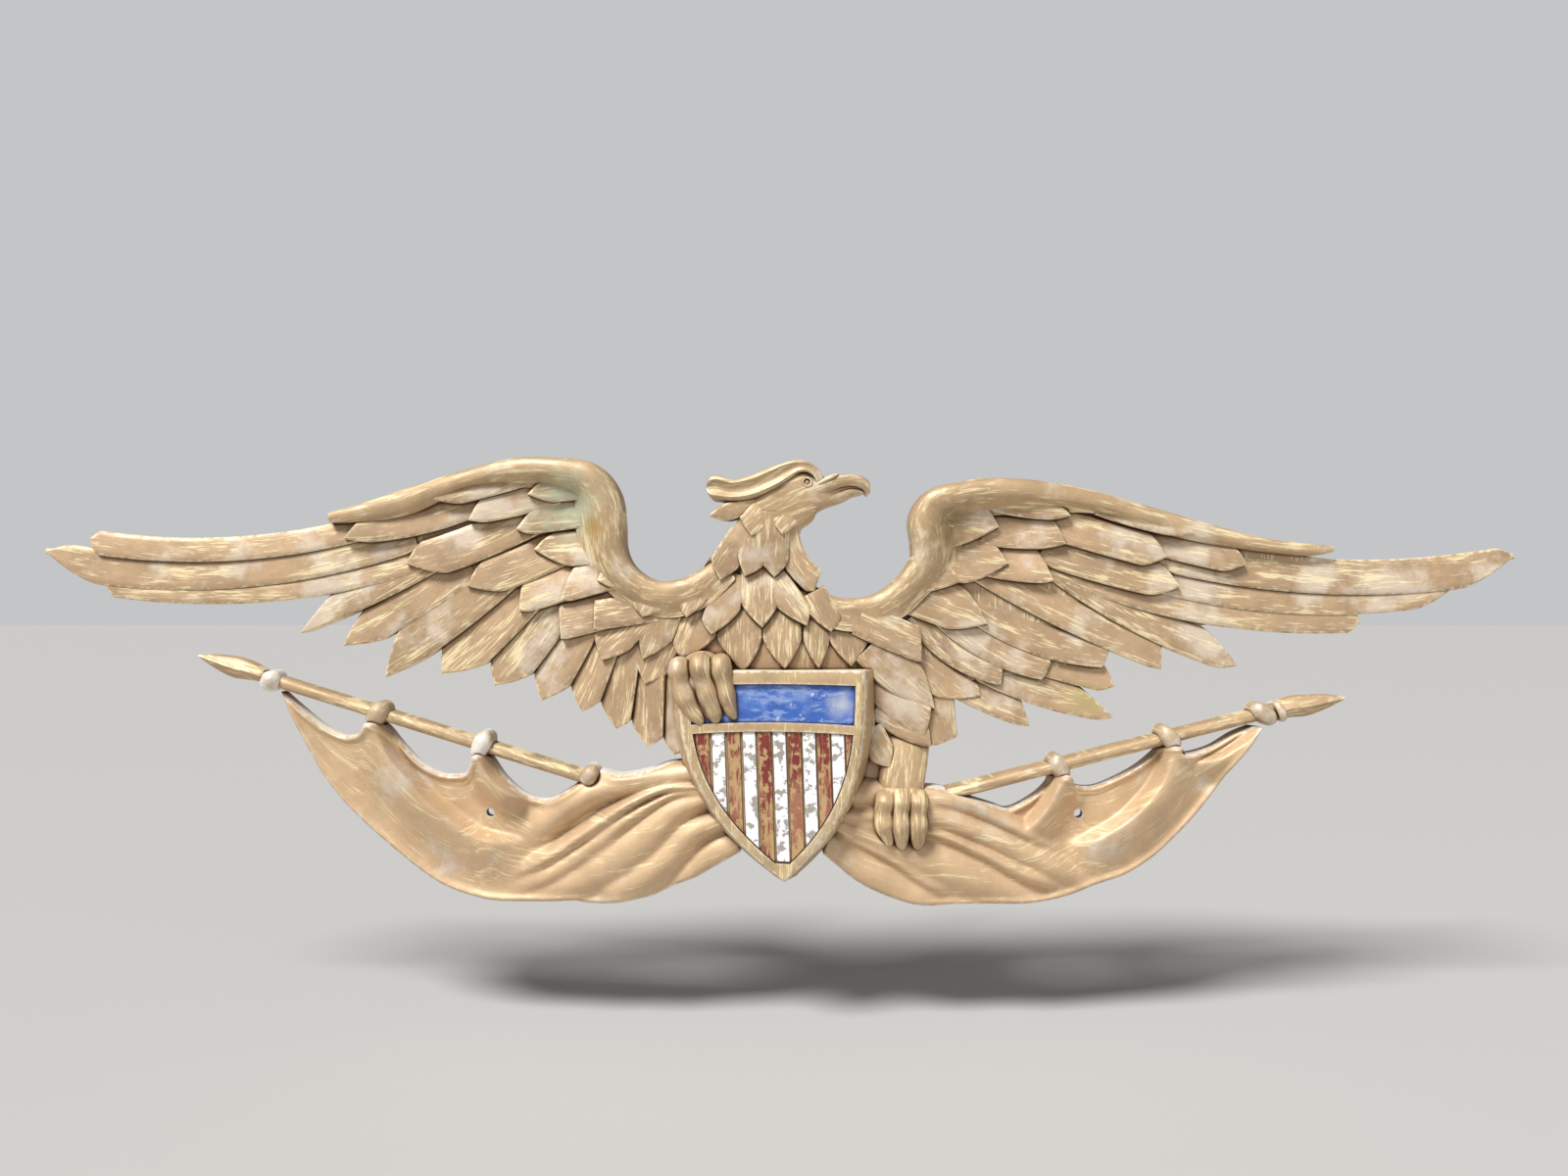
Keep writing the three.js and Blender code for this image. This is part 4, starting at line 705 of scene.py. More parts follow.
def finish_corners(mesh, ahead=(0, 1)):
    """Gives a plain mesh the corner values that the paints read. Its grain runs ahead in x and z."""
    corner = np.empty(len(mesh.loops), int)
    mesh.loops.foreach_get("vertex_index", corner)
    place = np.empty(len(mesh.vertices) * 3)
    mesh.vertices.foreach_get("co", place)
    place = place.reshape(-1, 3)[corner] / MM
    if "grain" not in mesh.uv_layers:
        mesh.uv_layers.new(name="grain")
    run = place[:, [0, 2]] @ np.array([[ahead[0], -ahead[1]], [ahead[1], ahead[0]]])
    mesh.uv_layers["grain"].data.foreach_set("uv", run.astype(np.float32).ravel())
    for name, value in (("rim", 9.0), ("tone", 0.5)):
        if name not in mesh.attributes:
            put(mesh, name, np.full(len(corner), value))


def combine(target, others, operation):
    """The mesh of the target joined with, or cut by, other closed shapes."""
    group = bpy.data.collections.new("Operands")
    for shape in others:
        group.objects.link(shape)
    scene = bpy.context.scene.collection
    if target.name not in scene.objects:
        scene.objects.link(target)
    step = target.modifiers.new("Combine", "BOOLEAN")
    step.operation = operation
    step.operand_type = "COLLECTION"
    step.collection = group
    step.solver = "MANIFOLD"
    step.material_mode = "TRANSFER"
    mesh = bpy.data.meshes.new_from_object(target.evaluated_get(bpy.context.evaluated_depsgraph_get()))
    target.modifiers.remove(step)
    scene.objects.unlink(target)
    bpy.data.collections.remove(group)
    if not mesh.polygons:
        raise RuntimeError("a join or cut left nothing of " + target.name)
    target.data = mesh
    return target


# Paints

def shader(name, inputs, outputs):
    """An empty shader node group with its sockets, and its node and link makers."""
    tree = bpy.data.node_groups.new(name, "ShaderNodeTree")
    for socket, kind, value in inputs:
        made = tree.interface.new_socket(socket, in_out="INPUT", socket_type="NodeSocket" + kind)
        made.default_value = value
    for socket, kind in outputs:
        tree.interface.new_socket(socket, in_out="OUTPUT", socket_type="NodeSocket" + kind)
    return tree, Nodes(tree)


class Nodes:
    """Short ways to add and link the nodes of one tree."""

    def __init__(self, tree):
        self.tree = tree

    def add(self, kind, values=(), **settings):
        node = self.tree.nodes.new(kind)
        for key, value in settings.items():
            setattr(node, key, value)
        for key, value in dict(values).items():
            self.set(node.inputs[key], value)
        return node

    def set(self, socket, value):
        if isinstance(value, bpy.types.NodeSocket):
            self.tree.links.new(value, socket)
        else:
            socket.default_value = value

    def math(self, operation, a, b=0.0, clamp=False):
        node = self.add("ShaderNodeMath", operation=operation, use_clamp=clamp)
        self.set(node.inputs[0], a)
        self.set(node.inputs[1], b)
        return node.outputs[0]

    def ramp(self, value, low, high, to_low=0.0, to_high=1.0):
        """The value mapped smoothly from one range to another."""
        node = self.add("ShaderNodeMapRange", interpolation_type="SMOOTHSTEP")
        for k, v in enumerate((value, low, high, to_low, to_high)):
            self.set(node.inputs[k], v)
        return node.outputs[0]

    def mix(self, mask, a, b, blend="MIX"):
        node = self.add("ShaderNodeMix", data_type="RGBA", blend_type=blend)
        self.set(node.inputs[0], mask)
        self.set(node.inputs[6], a)
        self.set(node.inputs[7], b)
        return node.outputs[2]

    def noise(self, place, scale, detail=3.0, rough=0.55):
        node = self.add("ShaderNodeTexNoise", {"Vector": place, "Scale": scale, "Detail": detail,
                                               "Roughness": rough})
        return node.outputs["Fac"]

    def place(self):
        return self.add("ShaderNodeTexCoord").outputs["Object"]

    def value(self, name):
        """A value stored on the corners of the mesh."""
        return self.add("ShaderNodeAttribute", attribute_name=name).outputs["Fac"]

    def group(self, name, values):
        node = self.add("ShaderNodeGroup", node_tree=bpy.data.node_groups[name])
        for key, value in values.items():
            self.set(node.inputs[key], value)
        return node.outputs


def tint(red, green, blue):
    """Linear colour of the sRGB values from 0 to 255."""
    def straight(c):
        c = c / 255
        return c / 12.92 if c <= 0.04045 else ((c + 0.055) / 1.055) ** 2.4
    return (straight(red), straight(green), straight(blue), 1.0)


def make_effects():
    """The paint effects that several paints share."""
    tree, n = shader("Brushed streaks", [("Length", "Float", 20.0), ("Width", "Float", 1.5),
                                         ("Amount", "Float", 0.5)], [("Mask", "Float")])
    given, out = n.add("NodeGroupInput").outputs, n.add("NodeGroupOutput")
    grain = n.add("ShaderNodeUVMap", uv_map="grain").outputs[0]
    split = n.add("ShaderNodeSeparateXYZ", {0: grain})
    shift = n.math("MULTIPLY", n.value("tone"), 53.0)
    lay = n.add("ShaderNodeCombineXYZ", {0: n.math("DIVIDE", split.outputs[0], given["Length"]),
                                         1: n.math("DIVIDE", split.outputs[1], given["Width"]), 2: shift})
    fine = n.noise(lay.outputs[0], 1.0, 5.0, 0.65)
    wide = n.add("ShaderNodeVectorMath", {0: lay.outputs[0], 1: (0.28, 0.16, 1.0)}, operation="MULTIPLY")
    patch = n.noise(wide.outputs[0], 1.0, 4.0, 0.6)
    both = n.math("ADD", n.math("MULTIPLY", fine, 0.55), n.math("MULTIPLY", patch, 0.45))
    low = n.math("SUBTRACT", 0.6, n.math("MULTIPLY", given["Amount"], 0.2))
    n.set(out.inputs[0], n.ramp(both, low, n.math("ADD", low, 0.08)))

    tree, n = shader("Worn edge", [("Width", "Float", 1.2), ("Ragged", "Float", 1.0), ("Ridge", "Float", 0.6)],
                     [("Mask", "Float")])
    given, out = n.add("NodeGroupInput").outputs, n.add("NodeGroupOutput")
    rag = n.math("MULTIPLY", n.math("SUBTRACT", n.noise(n.place(), 330.0, 4.0), 0.5), given["Ragged"])
    rim = n.ramp(n.math("ADD", n.value("rim"), n.math("MULTIPLY", rag, 4.0)), given["Width"], 0.0)
    bend = n.add("ShaderNodeAmbientOcclusion", {"Distance": 0.0022}, samples=8, inside=True).outputs["AO"]
    ridge = n.ramp(n.math("ADD", bend, rag), n.math("ADD", given["Ridge"], 0.18), n.math("SUBTRACT", given["Ridge"], 0.18))
    n.set(out.inputs[0], n.math("MAXIMUM", rim, n.math("MULTIPLY", ridge, 0.8)))

    tree, n = shader("Patches", [("Scale", "Float", 30.0), ("Cover", "Float", 0.5), ("Soft", "Float", 0.1),
                                 ("Seed", "Float", 0.0)], [("Mask", "Float")])
    given, out = n.add("NodeGroupInput").outputs, n.add("NodeGroupOutput")
    moved = n.add("ShaderNodeVectorMath", {0: n.place(), 1: given["Seed"]}, operation="ADD").outputs[0]
    spots = n.noise(moved, given["Scale"], 6.0, 0.62)
    low = n.math("SUBTRACT", 0.75, n.math("MULTIPLY", given["Cover"], 0.5))
    n.set(out.inputs[0], n.ramp(spots, low, n.math("ADD", low, given["Soft"])))

    tree, n = shader("Stain", [("Place", "Vector", (0.0, 0.0, 0.0)), ("Reach", "Float", 0.01)],
                     [("Mask", "Float")])
    given, out = n.add("NodeGroupInput").outputs, n.add("NodeGroupOutput")
    gap = n.add("ShaderNodeVectorMath", {0: n.place(), 1: given["Place"]}, operation="DISTANCE")
    rag = n.math("MULTIPLY", n.noise(n.place(), 160.0, 5.0), given["Reach"])
    n.set(out.inputs[0], n.ramp(n.math("ADD", gap.outputs["Value"], rag), n.math("MULTIPLY", given["Reach"], 1.4),
                                n.math("MULTIPLY", given["Reach"], 0.5)))

    tree, n = shader("Cast grain", [("Pits", "Float", 0.5)], [("Height", "Float")])
    given, out = n.add("NodeGroupInput").outputs, n.add("NodeGroupOutput")
    skin = n.noise(n.place(), 900.0, 3.0, 0.6)
    soft = n.noise(n.place(), 130.0, 3.0, 0.5)
    holes = n.add("ShaderNodeTexVoronoi", {"Vector": n.place(), "Scale": 260.0}, feature="F1").outputs["Distance"]
    pits = n.math("MULTIPLY", n.ramp(holes, 0.16, 0.05), n.ramp(n.noise(n.place(), 45.0), 0.5, 0.62))
    rough = n.math("ADD", n.math("MULTIPLY", skin, 0.35), n.math("MULTIPLY", soft, 0.9))
    n.set(out.inputs[0], n.math("SUBTRACT", rough, n.math("MULTIPLY", pits, given["Pits"])))


def paint(name, base, worn, crevice_dirt_and_shade, streaks=0.0, streak_tint=None, grey=0.0, grey_tint=None, edge=1.2,
          ragged=1.0, ridge=0.6, metal=0.2, rough=0.5, pits=0.5, stains=(), chips=0.0, chip_tint=None,
          streak_size=(26.0, 1.6), cloud=0.9):
    """A paint over the casting: colour, worn edges, painted shade with dark wash in crevices, streaks, patches,
    chips.
    """
    material = bpy.data.materials.new(name)
    material.use_nodes = True
    n = Nodes(material.node_tree)
    surface = material.node_tree.nodes["Principled BSDF"]
    shade = n.math("MULTIPLY", n.math("SUBTRACT", n.value("tone"), 0.5), 0.2)
    wash = n.math("MULTIPLY", n.math("SUBTRACT", n.noise(n.place(), 75.0, 6.0, 0.68), 0.5), cloud)
    level = n.math("ADD", 1.0, n.math("ADD", shade, wash))
    colour = n.mix(1.0, tint(*base), n.add("ShaderNodeCombineXYZ", {0: level, 1: level, 2: level}).outputs[0],
                   "MULTIPLY")
    if grey:
        mask = n.group("Patches", {"Scale": 34.0, "Cover": grey, "Soft": 0.14, "Seed": 3.0})["Mask"]
        colour = n.mix(n.math("MULTIPLY", mask, 0.8), colour, tint(*grey_tint))
    if streaks:
        mask = n.group("Brushed streaks", {"Length": streak_size[0], "Width": streak_size[1],
                                           "Amount": streaks})["Mask"]
        colour = n.mix(n.math("MULTIPLY", mask, 0.72), colour, tint(*streak_tint))
    for spot, reach, shade_tint, strength in stains:
        mask = n.group("Stain", {"Place": [v * MM for v in spot], "Reach": reach * MM})["Mask"]
        colour = n.mix(n.math("MULTIPLY", mask, strength), colour, tint(*shade_tint))
    if chips:
        mask = n.group("Patches", {"Scale": 210.0, "Cover": chips, "Soft": 0.05, "Seed": 9.0})["Mask"]
        colour = n.mix(mask, colour, tint(*chip_tint))
    worn_mask = n.group("Worn edge", {"Width": edge, "Ragged": ragged, "Ridge": ridge})["Mask"]
    colour = n.mix(n.math("MULTIPLY", worn_mask, 0.75), colour, tint(*worn))
    # Painted shade with a dark wash: where ambient occlusion finds near walls, within 10 mm the colour darkens
    # towards a mix of base and crevice colour, and within 2.2 mm towards the crevice colour.
    crevice_shade_ao = n.add("ShaderNodeAmbientOcclusion", {"Distance": 0.0022}, samples=12).outputs["AO"]
    wide = n.add("ShaderNodeAmbientOcclusion", {"Distance": 0.01}, samples=8).outputs["AO"]
    hollow_dirt_and_shade = n.mix(0.6, tint(*base), tint(*crevice_dirt_and_shade))
    colour = n.mix(n.ramp(wide, 0.85, 0.35, 0.0, 0.75), colour, hollow_dirt_and_shade)
    colour = n.mix(n.ramp(crevice_shade_ao, 0.8, 0.5), colour, tint(*crevice_dirt_and_shade))
    n.set(surface.inputs["Base Color"], colour)
    surface.inputs["Metallic"].default_value = metal
    shine = n.noise(n.place(), 90.0, 4.0)
    n.set(surface.inputs["Roughness"], n.ramp(shine, 0.3, 0.7, rough - 0.08, rough + 0.1))
    grain = n.group("Cast grain", {"Pits": pits})["Height"]
    bump = n.add("ShaderNodeBump", {"Height": grain, "Strength": 0.4, "Distance": 0.0005})
    n.set(surface.inputs["Normal"], bump.outputs[0])
    return material


def make_paints():
    make_effects()
    # The fourth colour of each paint darkens its crevices and hollows: painted shade with a dark wash.
    dirt_and_shade_brown = (98, 68, 40)
    pale = (250, 232, 184)
    stains = [
        ((-100, -12, 84), 26, (196, 206, 176), 0.75),
        ((-88, -14, 74), 9, (180, 140, 70), 0.8),
        ((78, -14, 72), 22, (128, 104, 66), 0.8),
        ((140, -10, -6), 14, (176, 172, 100), 0.6),
    ]
    paint("Worn gold paint", (182, 152, 118), (248, 230, 192), dirt_and_shade_brown, 0.42, pale, 0.5, (216, 200, 180),
          edge=0.9, stains=stains, streak_size=(9.0, 0.8))
    paint("Smooth gold paint", (186, 157, 120), (250, 236, 204), dirt_and_shade_brown, 0.46, pale, 0.4, (220, 206, 186),
          edge=0.8, stains=stains, streak_size=(9.0, 0.8))
    paint("Cloth paint", (208, 176, 138), (240, 238, 232), dirt_and_shade_brown, 0.3, pale, 0.4, (222, 208, 190), edge=1.2,
          pits=1.4, rough=0.5, streak_size=(10.0, 0.9), cloud=0.6)
    paint("Knot paint", (190, 166, 134), (252, 248, 240), dirt_and_shade_brown, 0.3, pale, 0.6, (248, 244, 238), edge=1.2,
          ridge=0.72, pits=1.4, rough=0.5, streak_size=(5.0, 0.9))
    paint("Worn gold frame", (192, 164, 124), (252, 242, 218), dirt_and_shade_brown, 0.3, pale, 0.4, (224, 210, 186), edge=1.3,
          streak_size=(9.0, 0.9))
    blue_wear = [((26, -25, -7), 11, (196, 200, 204), 0.8), ((-2, -25, -14), 5, (196, 204, 222), 0.7),
                 ((8, -25, -3), 6, (170, 188, 220), 0.6)]
    paint("Blue enamel", (62, 102, 184), (190, 202, 226), (40, 50, 80), 0.5, (150, 170, 214), 0.5, (120, 150, 206),
          edge=0.6, metal=0.0, stains=blue_wear, chips=0.26, chip_tint=(206, 212, 222), rough=0.42,
          streak_size=(2.0, 7.0))
    paint("White enamel", (252, 250, 250), (224, 216, 206), (130, 112, 92), 0.0, pale, 0.2, (236, 234, 234),
          edge=0.5, metal=0.0, chips=0.46, chip_tint=(164, 156, 146), rough=0.42, cloud=0.3)
    paint("Red enamel", (130, 52, 48), (206, 172, 128), (70, 40, 28), 0.56, (206, 176, 120), 0.5,
          (176, 122, 96), edge=0.7, metal=0.1, chips=0.44, chip_tint=(190, 158, 112), rough=0.46,
          streak_size=(10.0, 1.6))
    paint("Bare casting", (160, 148, 130), (180, 170, 154), (80, 66, 50), 0.0, pale, 0.5, (142, 132, 118),
          edge=0.5, metal=0.3, rough=0.6, pits=1.5)


# Geometry Nodes

def node_tree(name, inputs):
    tree = bpy.data.node_groups.new(name, "GeometryNodeTree")
    for socket, kind in [("Geometry", "Geometry"), *inputs]:
        tree.interface.new_socket(socket, in_out="INPUT", socket_type="NodeSocket" + kind)
    tree.interface.new_socket("Geometry", in_out="OUTPUT", socket_type="NodeSocketGeometry")
    return tree, Nodes(tree)


def stripes_tree():
    """Stripes set out side by side, each closer to the last, that lean a little as they run down."""
    tree, n = node_tree("Shield stripes", [
        ("Start", "Int"), ("Step", "Int"), ("Count", "Int"), ("First", "Float"), ("Pitch", "Float"),
        ("Shrink", "Float"), ("Width", "Float"), ("Length", "Float"), ("Top", "Float"),
        ("Drift", "Float"), ("Depth", "Float"), ("Face", "Float"), ("Lean", "Float"),
        ("Material", "Material")])
    given, out = n.add("NodeGroupInput").outputs, n.add("NodeGroupOutput")
    index = n.add("GeometryNodeInputIndex").outputs[0]
    i = n.math("ADD", given["Start"], n.math("MULTIPLY", index, given["Step"]))
    closer = n.math("SUBTRACT", given["Pitch"], n.math("MULTIPLY", given["Shrink"], n.math("MULTIPLY", i, 0.5)))
    x = n.math("ADD", given["First"], n.math("MULTIPLY", i, closer))
    y = n.math("SUBTRACT", n.math("MULTIPLY", given["Depth"], 0.5), given["Face"])
    z = n.math("SUBTRACT", given["Top"], n.math("MULTIPLY", given["Length"], 0.5))
    at = n.add("ShaderNodeCombineXYZ", {0: x, 1: y, 2: z}).outputs[0]
    points = n.add("GeometryNodePoints", {"Count": given["Count"], "Position": at}).outputs[0]
    size = n.add("ShaderNodeCombineXYZ", {0: given["Width"], 1: given["Depth"], 2: given["Length"]}).outputs[0]
    bar = n.add("GeometryNodeMeshCube", {"Size": size, "Vertices Z": 9}).outputs["Mesh"]
    placed = n.add("GeometryNodeInstanceOnPoints", {"Points": points, "Instance": bar}).outputs[0]
    real = n.add("GeometryNodeRealizeInstances", {"Geometry": placed}).outputs[0]
    spot = n.add("ShaderNodeSeparateXYZ", {0: n.add("GeometryNodeInputPosition").outputs[0]}).outputs
    over = n.math("MULTIPLY", given["Drift"], n.math("SUBTRACT", given["Top"], spot[2]))
    out_by = n.math("MULTIPLY", n.math("MULTIPLY", given["Lean"], spot[0]), -1.0)
    shift = n.add("ShaderNodeCombineXYZ", {0: over, 1: out_by}).outputs[0]
    leaning = n.add("GeometryNodeSetPosition", {"Geometry": real, "Offset": shift}).outputs[0]
    painted = n.add("GeometryNodeSetMaterial", {"Geometry": leaning, "Material": given["Material"]})
    n.set(out.inputs[0], painted.outputs[0])
    return tree


def staff_tree():
    """A round rod along a path of edges, whose sides run straight to behind the casting's back."""
    tree, n = node_tree("Staff", [("Radius", "Float"), ("Sides", "Int"), ("Back", "Float"),
                                  ("Material", "Material")])
    given, out = n.add("NodeGroupInput").outputs, n.add("NodeGroupOutput")
    path = n.add("GeometryNodeMeshToCurve", {"Mesh": given["Geometry"]}).outputs[0]
    depth = n.add("ShaderNodeSeparateXYZ", {0: n.add("GeometryNodeInputPosition").outputs[0]}).outputs[1]
    stored = n.add("GeometryNodeCaptureAttribute", {"Geometry": path}, domain="POINT")
    stored.capture_items.new("FLOAT", "Depth")
    n.set(stored.inputs[1], depth)
    ring = n.add("GeometryNodeCurvePrimitiveCircle", {"Resolution": given["Sides"], "Radius": given["Radius"]})
    rod = n.add("GeometryNodeCurveToMesh", {"Curve": stored.outputs[0], "Profile Curve": ring.outputs[0],
                                            "Fill Caps": True}).outputs[0]
    spot = n.add("ShaderNodeSeparateXYZ", {0: n.add("GeometryNodeInputPosition").outputs[0]}).outputs
    behind = n.math("GREATER_THAN", spot[1], n.math("ADD", stored.outputs[1], 0.0001))
    flat = n.add("ShaderNodeCombineXYZ", {0: spot[0], 1: given["Back"], 2: spot[2]}).outputs[0]
    walled = n.add("GeometryNodeSetPosition", {"Geometry": rod, "Selection": behind, "Position": flat})
    real = n.add("GeometryNodeRealizeInstances", {"Geometry": walled.outputs[0]}).outputs[0]
    painted = n.add("GeometryNodeSetMaterial", {"Geometry": real, "Material": given["Material"]})
    n.set(out.inputs[0], painted.outputs[0])
    return tree


def grown(name, mesh, tree, values):
    """The plain closed mesh that a Geometry Nodes tree makes from a start mesh and named values."""
    shape = bpy.data.objects.new(name, mesh)
    bpy.context.scene.collection.objects.link(shape)
    step = shape.modifiers.new("Grow", "NODES")
    step.node_group = tree
    sockets = {item.name: item.identifier for item in tree.interface.items_tree if item.in_out == "INPUT"}
    for key, value in values.items():
        step[sockets[key]] = value
    made = bpy.data.meshes.new_from_object(shape.evaluated_get(bpy.context.evaluated_depsgraph_get()))
    shape.modifiers.remove(step)
    bpy.context.scene.collection.objects.unlink(shape)
    if not made.polygons:
        raise RuntimeError("nothing grew for " + name)
    finish_corners(made)
    shape.data = made
    return shape


# Settings, operators and panel

def length(name, description, default, **more):
    return bpy.props.FloatProperty(name=name, description=description, default=default, subtype="DISTANCE",
                                   unit="LENGTH", min=0.0, precision=4, **more)


class PlaqueSettings(bpy.types.PropertyGroup):
    """Sizes of the plaque's relief."""
    feather_step: length("Feather step", "Distance between the rings of points along a feather", 0.005)
    bevel_width: length("Bevel width", "Width of the rounding along a feather's edges", 0.0009)
    bevel_depth: length("Bevel depth", "How far a feather's rounded edge falls", 0.0008)
    stripe_pitch: length("Stripe pitch", "Distance between the first two stripes of the shield", 0.00715)
    stripe_width: length("Stripe width", "Width of each stripe of the shield", 0.0056)
    staff_radius: length("Staff radius", "Radius of the flag staffs", 0.0028)
    sharp_angle: bpy.props.FloatProperty(
        name="Sharp angle", description="Edges that turn by more than this stay crisp",
        default=math.radians(34), subtype="ANGLE", unit="ROTATION", min=0.0, max=math.pi)
    floor_tint: bpy.props.FloatVectorProperty(
        name="Floor colour", description="Colour of the studio floor", subtype="COLOR", size=4,
        default=(0.5, 0.49, 0.475, 1.0), min=0.0, max=1.0)


class PLAQUE_OT_paints(bpy.types.Operator):
    """Makes the paints and the effects that they share"""
    bl_idname = "plaque.paints"
    bl_label = "Make the paints"

    def execute(self, context):
        make_paints()
        return {"FINISHED"}


class PLAQUE_OT_eagle(bpy.types.Operator):
    """Makes the eagle: grounds, feathers, wing arms, neck, head and claws"""
    bl_idname = "plaque.eagle"
    bl_label = "Make the eagle"

    def execute(self, context):
        rng = np.random.default_rng(7)
        for k, (lower, upper, below) in enumerate(GROUNDS):
            sheet(f"ground_{k}", lower, upper, lambda x, z, u, v: ground_height(x, z) - below,
                  "Worn gold paint", rows=40, across=14)
        for k, (row, feathers) in enumerate(FEATHER_ROWS):
            for i, values in enumerate(feathers):
                feather(f"feather_{k}_{i}", row, values, rng.random())
        for k, (knots, inside) in enumerate(ARMS):
            roll(f"arm_{k}", knots, "Smooth gold paint", 0.75, foot=(inside, 1.6), across=20)
        sheet("neck", NECK_LEFT, NECK_RIGHT, lambda x, z, u, v: NECK_HEIGHT - 3 * (2 * v - 1) ** 2 - 8 * ease((u - 0.42) / 0.45),
              "Worn gold paint", rows=30, across=15)
        roll("skull", SKULL, "Smooth gold paint", 0.25)
        roll("crest", CREST, "Smooth gold paint", 0.5, hollow=0.42, across=22, caps=(4.5, 0))
        roll("upper_beak", UPPER_BEAK, "Smooth gold paint", 0.6)
        roll("lower_beak", LOWER_BEAK, "Smooth gold paint", 0.6)
        roll("cere", NOSTRIL, "Smooth gold paint", 0.8)
        eye()
        roll("leg", LEG, "Smooth gold paint", 0.45)
        for k, knots in enumerate(PALMS):
            roll(f"palm_{k}", knots, "Smooth gold paint", 0.4, caps=(9, 5))
        for k, knots in enumerate(TOES):
            roll(f"toe_{k}", knots, "Smooth gold paint", 0.95, step=0.7, caps=(3, 2), tone=rng.random())
        return {"FINISHED"}


def eye():
    """The eye: a raised ring with a hollow and a pupil."""
    turn = np.linspace(0, 2 * np.pi, 33)[:-1]
    profile = [(1.0, -1.6), (1.0, 0.0), (0.86, 0.6), (0.66, 0.55), (0.52, -0.4), (0.36, -0.3), (0.2, 0.3),
               (0.05, 0.4)]
    rings = [(EYE["x"] + EYE["radius"] * r * np.cos(turn), EYE["z"] + EYE["radius"] * r * np.sin(turn),
              np.full(32, EYE["height"] + h)) for r, h in profile]
    rings = [(rings[0][0], rings[0][1], np.full(32, -OVERRUN))] + rings
    verts = [(x * MM, -h * MM, z * MM) for ring in rings for x, z, h in zip(*ring)]
    faces = [[a * 32 + k, a * 32 + (k + 1) % 32, (a + 1) * 32 + (k + 1) % 32, (a + 1) * 32 + k]
             for a in range(len(rings) - 1) for k in range(32)]
    last = (len(rings) - 1) * 32
    faces += [list(range(last, last + 32)), list(range(31, -1, -1))]
    mesh = bpy.data.meshes.new("eye")
    mesh.from_pydata(verts, [], faces)
    mesh.materials.append(bpy.data.materials["Smooth gold paint"])
    finish_corners(mesh)
    keep("eye", mesh)


class PLAQUE_OT_shield(bpy.types.Operator):
    """Makes the shield: its framed block, the blue chief and the stripes"""
    bl_idname = "plaque.shield"
    bl_label = "Make the shield"

    def execute(self, context):
        look = context.scene.plaque
        floor = SHIELD["height"] - SHIELD["sunk"]
        low = SHIELD["bottom"] + SHIELD["rim"] * 1.2
        chief = pocket("chief", SHIELD["top"] - SHIELD["top_rim"], SHIELD["bar_top"], SHIELD["rim"], floor,
                       "Blue enamel", arch=(0.7, 1.3))
        field = pocket("field", SHIELD["bar_bottom"], low, SHIELD["rim"], floor, "Worn gold frame",
                       arch=(1.3, 0))
        block = shield_block()
        forms().objects.unlink(block)
        combine(block, [chief, field], "DIFFERENCE")
        forms().objects.link(block)
        tree = stripes_tree()
        for name, start, count, material in (("white", 1, 5, "White enamel"), ("red", 0, 6, "Red enamel")):
            stripes = grown(name + "_stripes", bpy.data.meshes.new("start"), tree, {
                "Start": start, "Step": 2, "Count": count, "First": STRIPES["first"] * MM,
                "Pitch": look.stripe_pitch, "Shrink": STRIPES["shrink"] * MM, "Width": look.stripe_width,
                "Length": (SHIELD["bar_bottom"] + 4 - SHIELD["bottom"]) * MM,
                "Top": (SHIELD["bar_bottom"] + 4) * MM, "Drift": STRIPES["drift"],
                "Depth": 8 * MM, "Face": (floor + STRIPES["raised"]) * MM, "Lean": SHIELD["lean"],
                "Material": bpy.data.materials[material]})
            room = pocket("room", SHIELD["bar_bottom"] - 0.4, low + 0.5, SHIELD["rim"] + 0.5, 0, material,
                          arch=(1.3, 0))
            combine(stripes, [room], "INTERSECT")
            forms().objects.link(stripes)
        return {"FINISHED"}


class PLAQUE_OT_flags(bpy.types.Operator):
    """Makes the flags: cloths with their folds, staffs, spearheads and knots"""
    bl_idname = "plaque.flags"
    bl_label = "Make the flags"

    def execute(self, context):
        look = context.scene.plaque
        cloth("left_cloth", LEFT_CLOTH, -1)
        cloth("right_cloth", RIGHT_CLOTH, 1)
        sheet("beside_leg", [[32, -14], [32, -30], [32, -46]], [[64, -14], [64, -30], [64, -46]],
              lambda x, z, u, v: 7.5 + 2 * u, "Cloth paint", 10, 8)
        tree = staff_tree()
        for k, knots in enumerate(STAFFS):
            path = along(knots, np.linspace(0, 1, 40))
            verts = [(x * MM, -(h - look.staff_radius / MM) * MM, z * MM) for x, z, _, h in path]
            line = bpy.data.meshes.new("path")
            line.from_pydata(verts, [(i, i + 1) for i in range(len(verts) - 1)], [])
            staff = grown(f"staff_{k}", line, tree, {
                "Radius": look.staff_radius, "Sides": 20, "Back": OVERRUN * MM,
                "Material": bpy.data.materials["Smooth gold paint"]})
            run = np.array(knots[1][:2]) - knots[0][:2]
            finish_corners(staff.data, run / np.linalg.norm(run))
            forms().objects.link(staff)
        for k, knots in enumerate(SPEARHEADS):
            roll(f"spearhead_{k}", knots, "Smooth gold paint", 0.15, keel=0.6)
        for k, knots in enumerate(KNOTS):
            roll(f"knot_{k}", knots, "Knot paint", 0.95, step=0.7, caps=(2.5, 2.5))
        return {"FINISHED"}


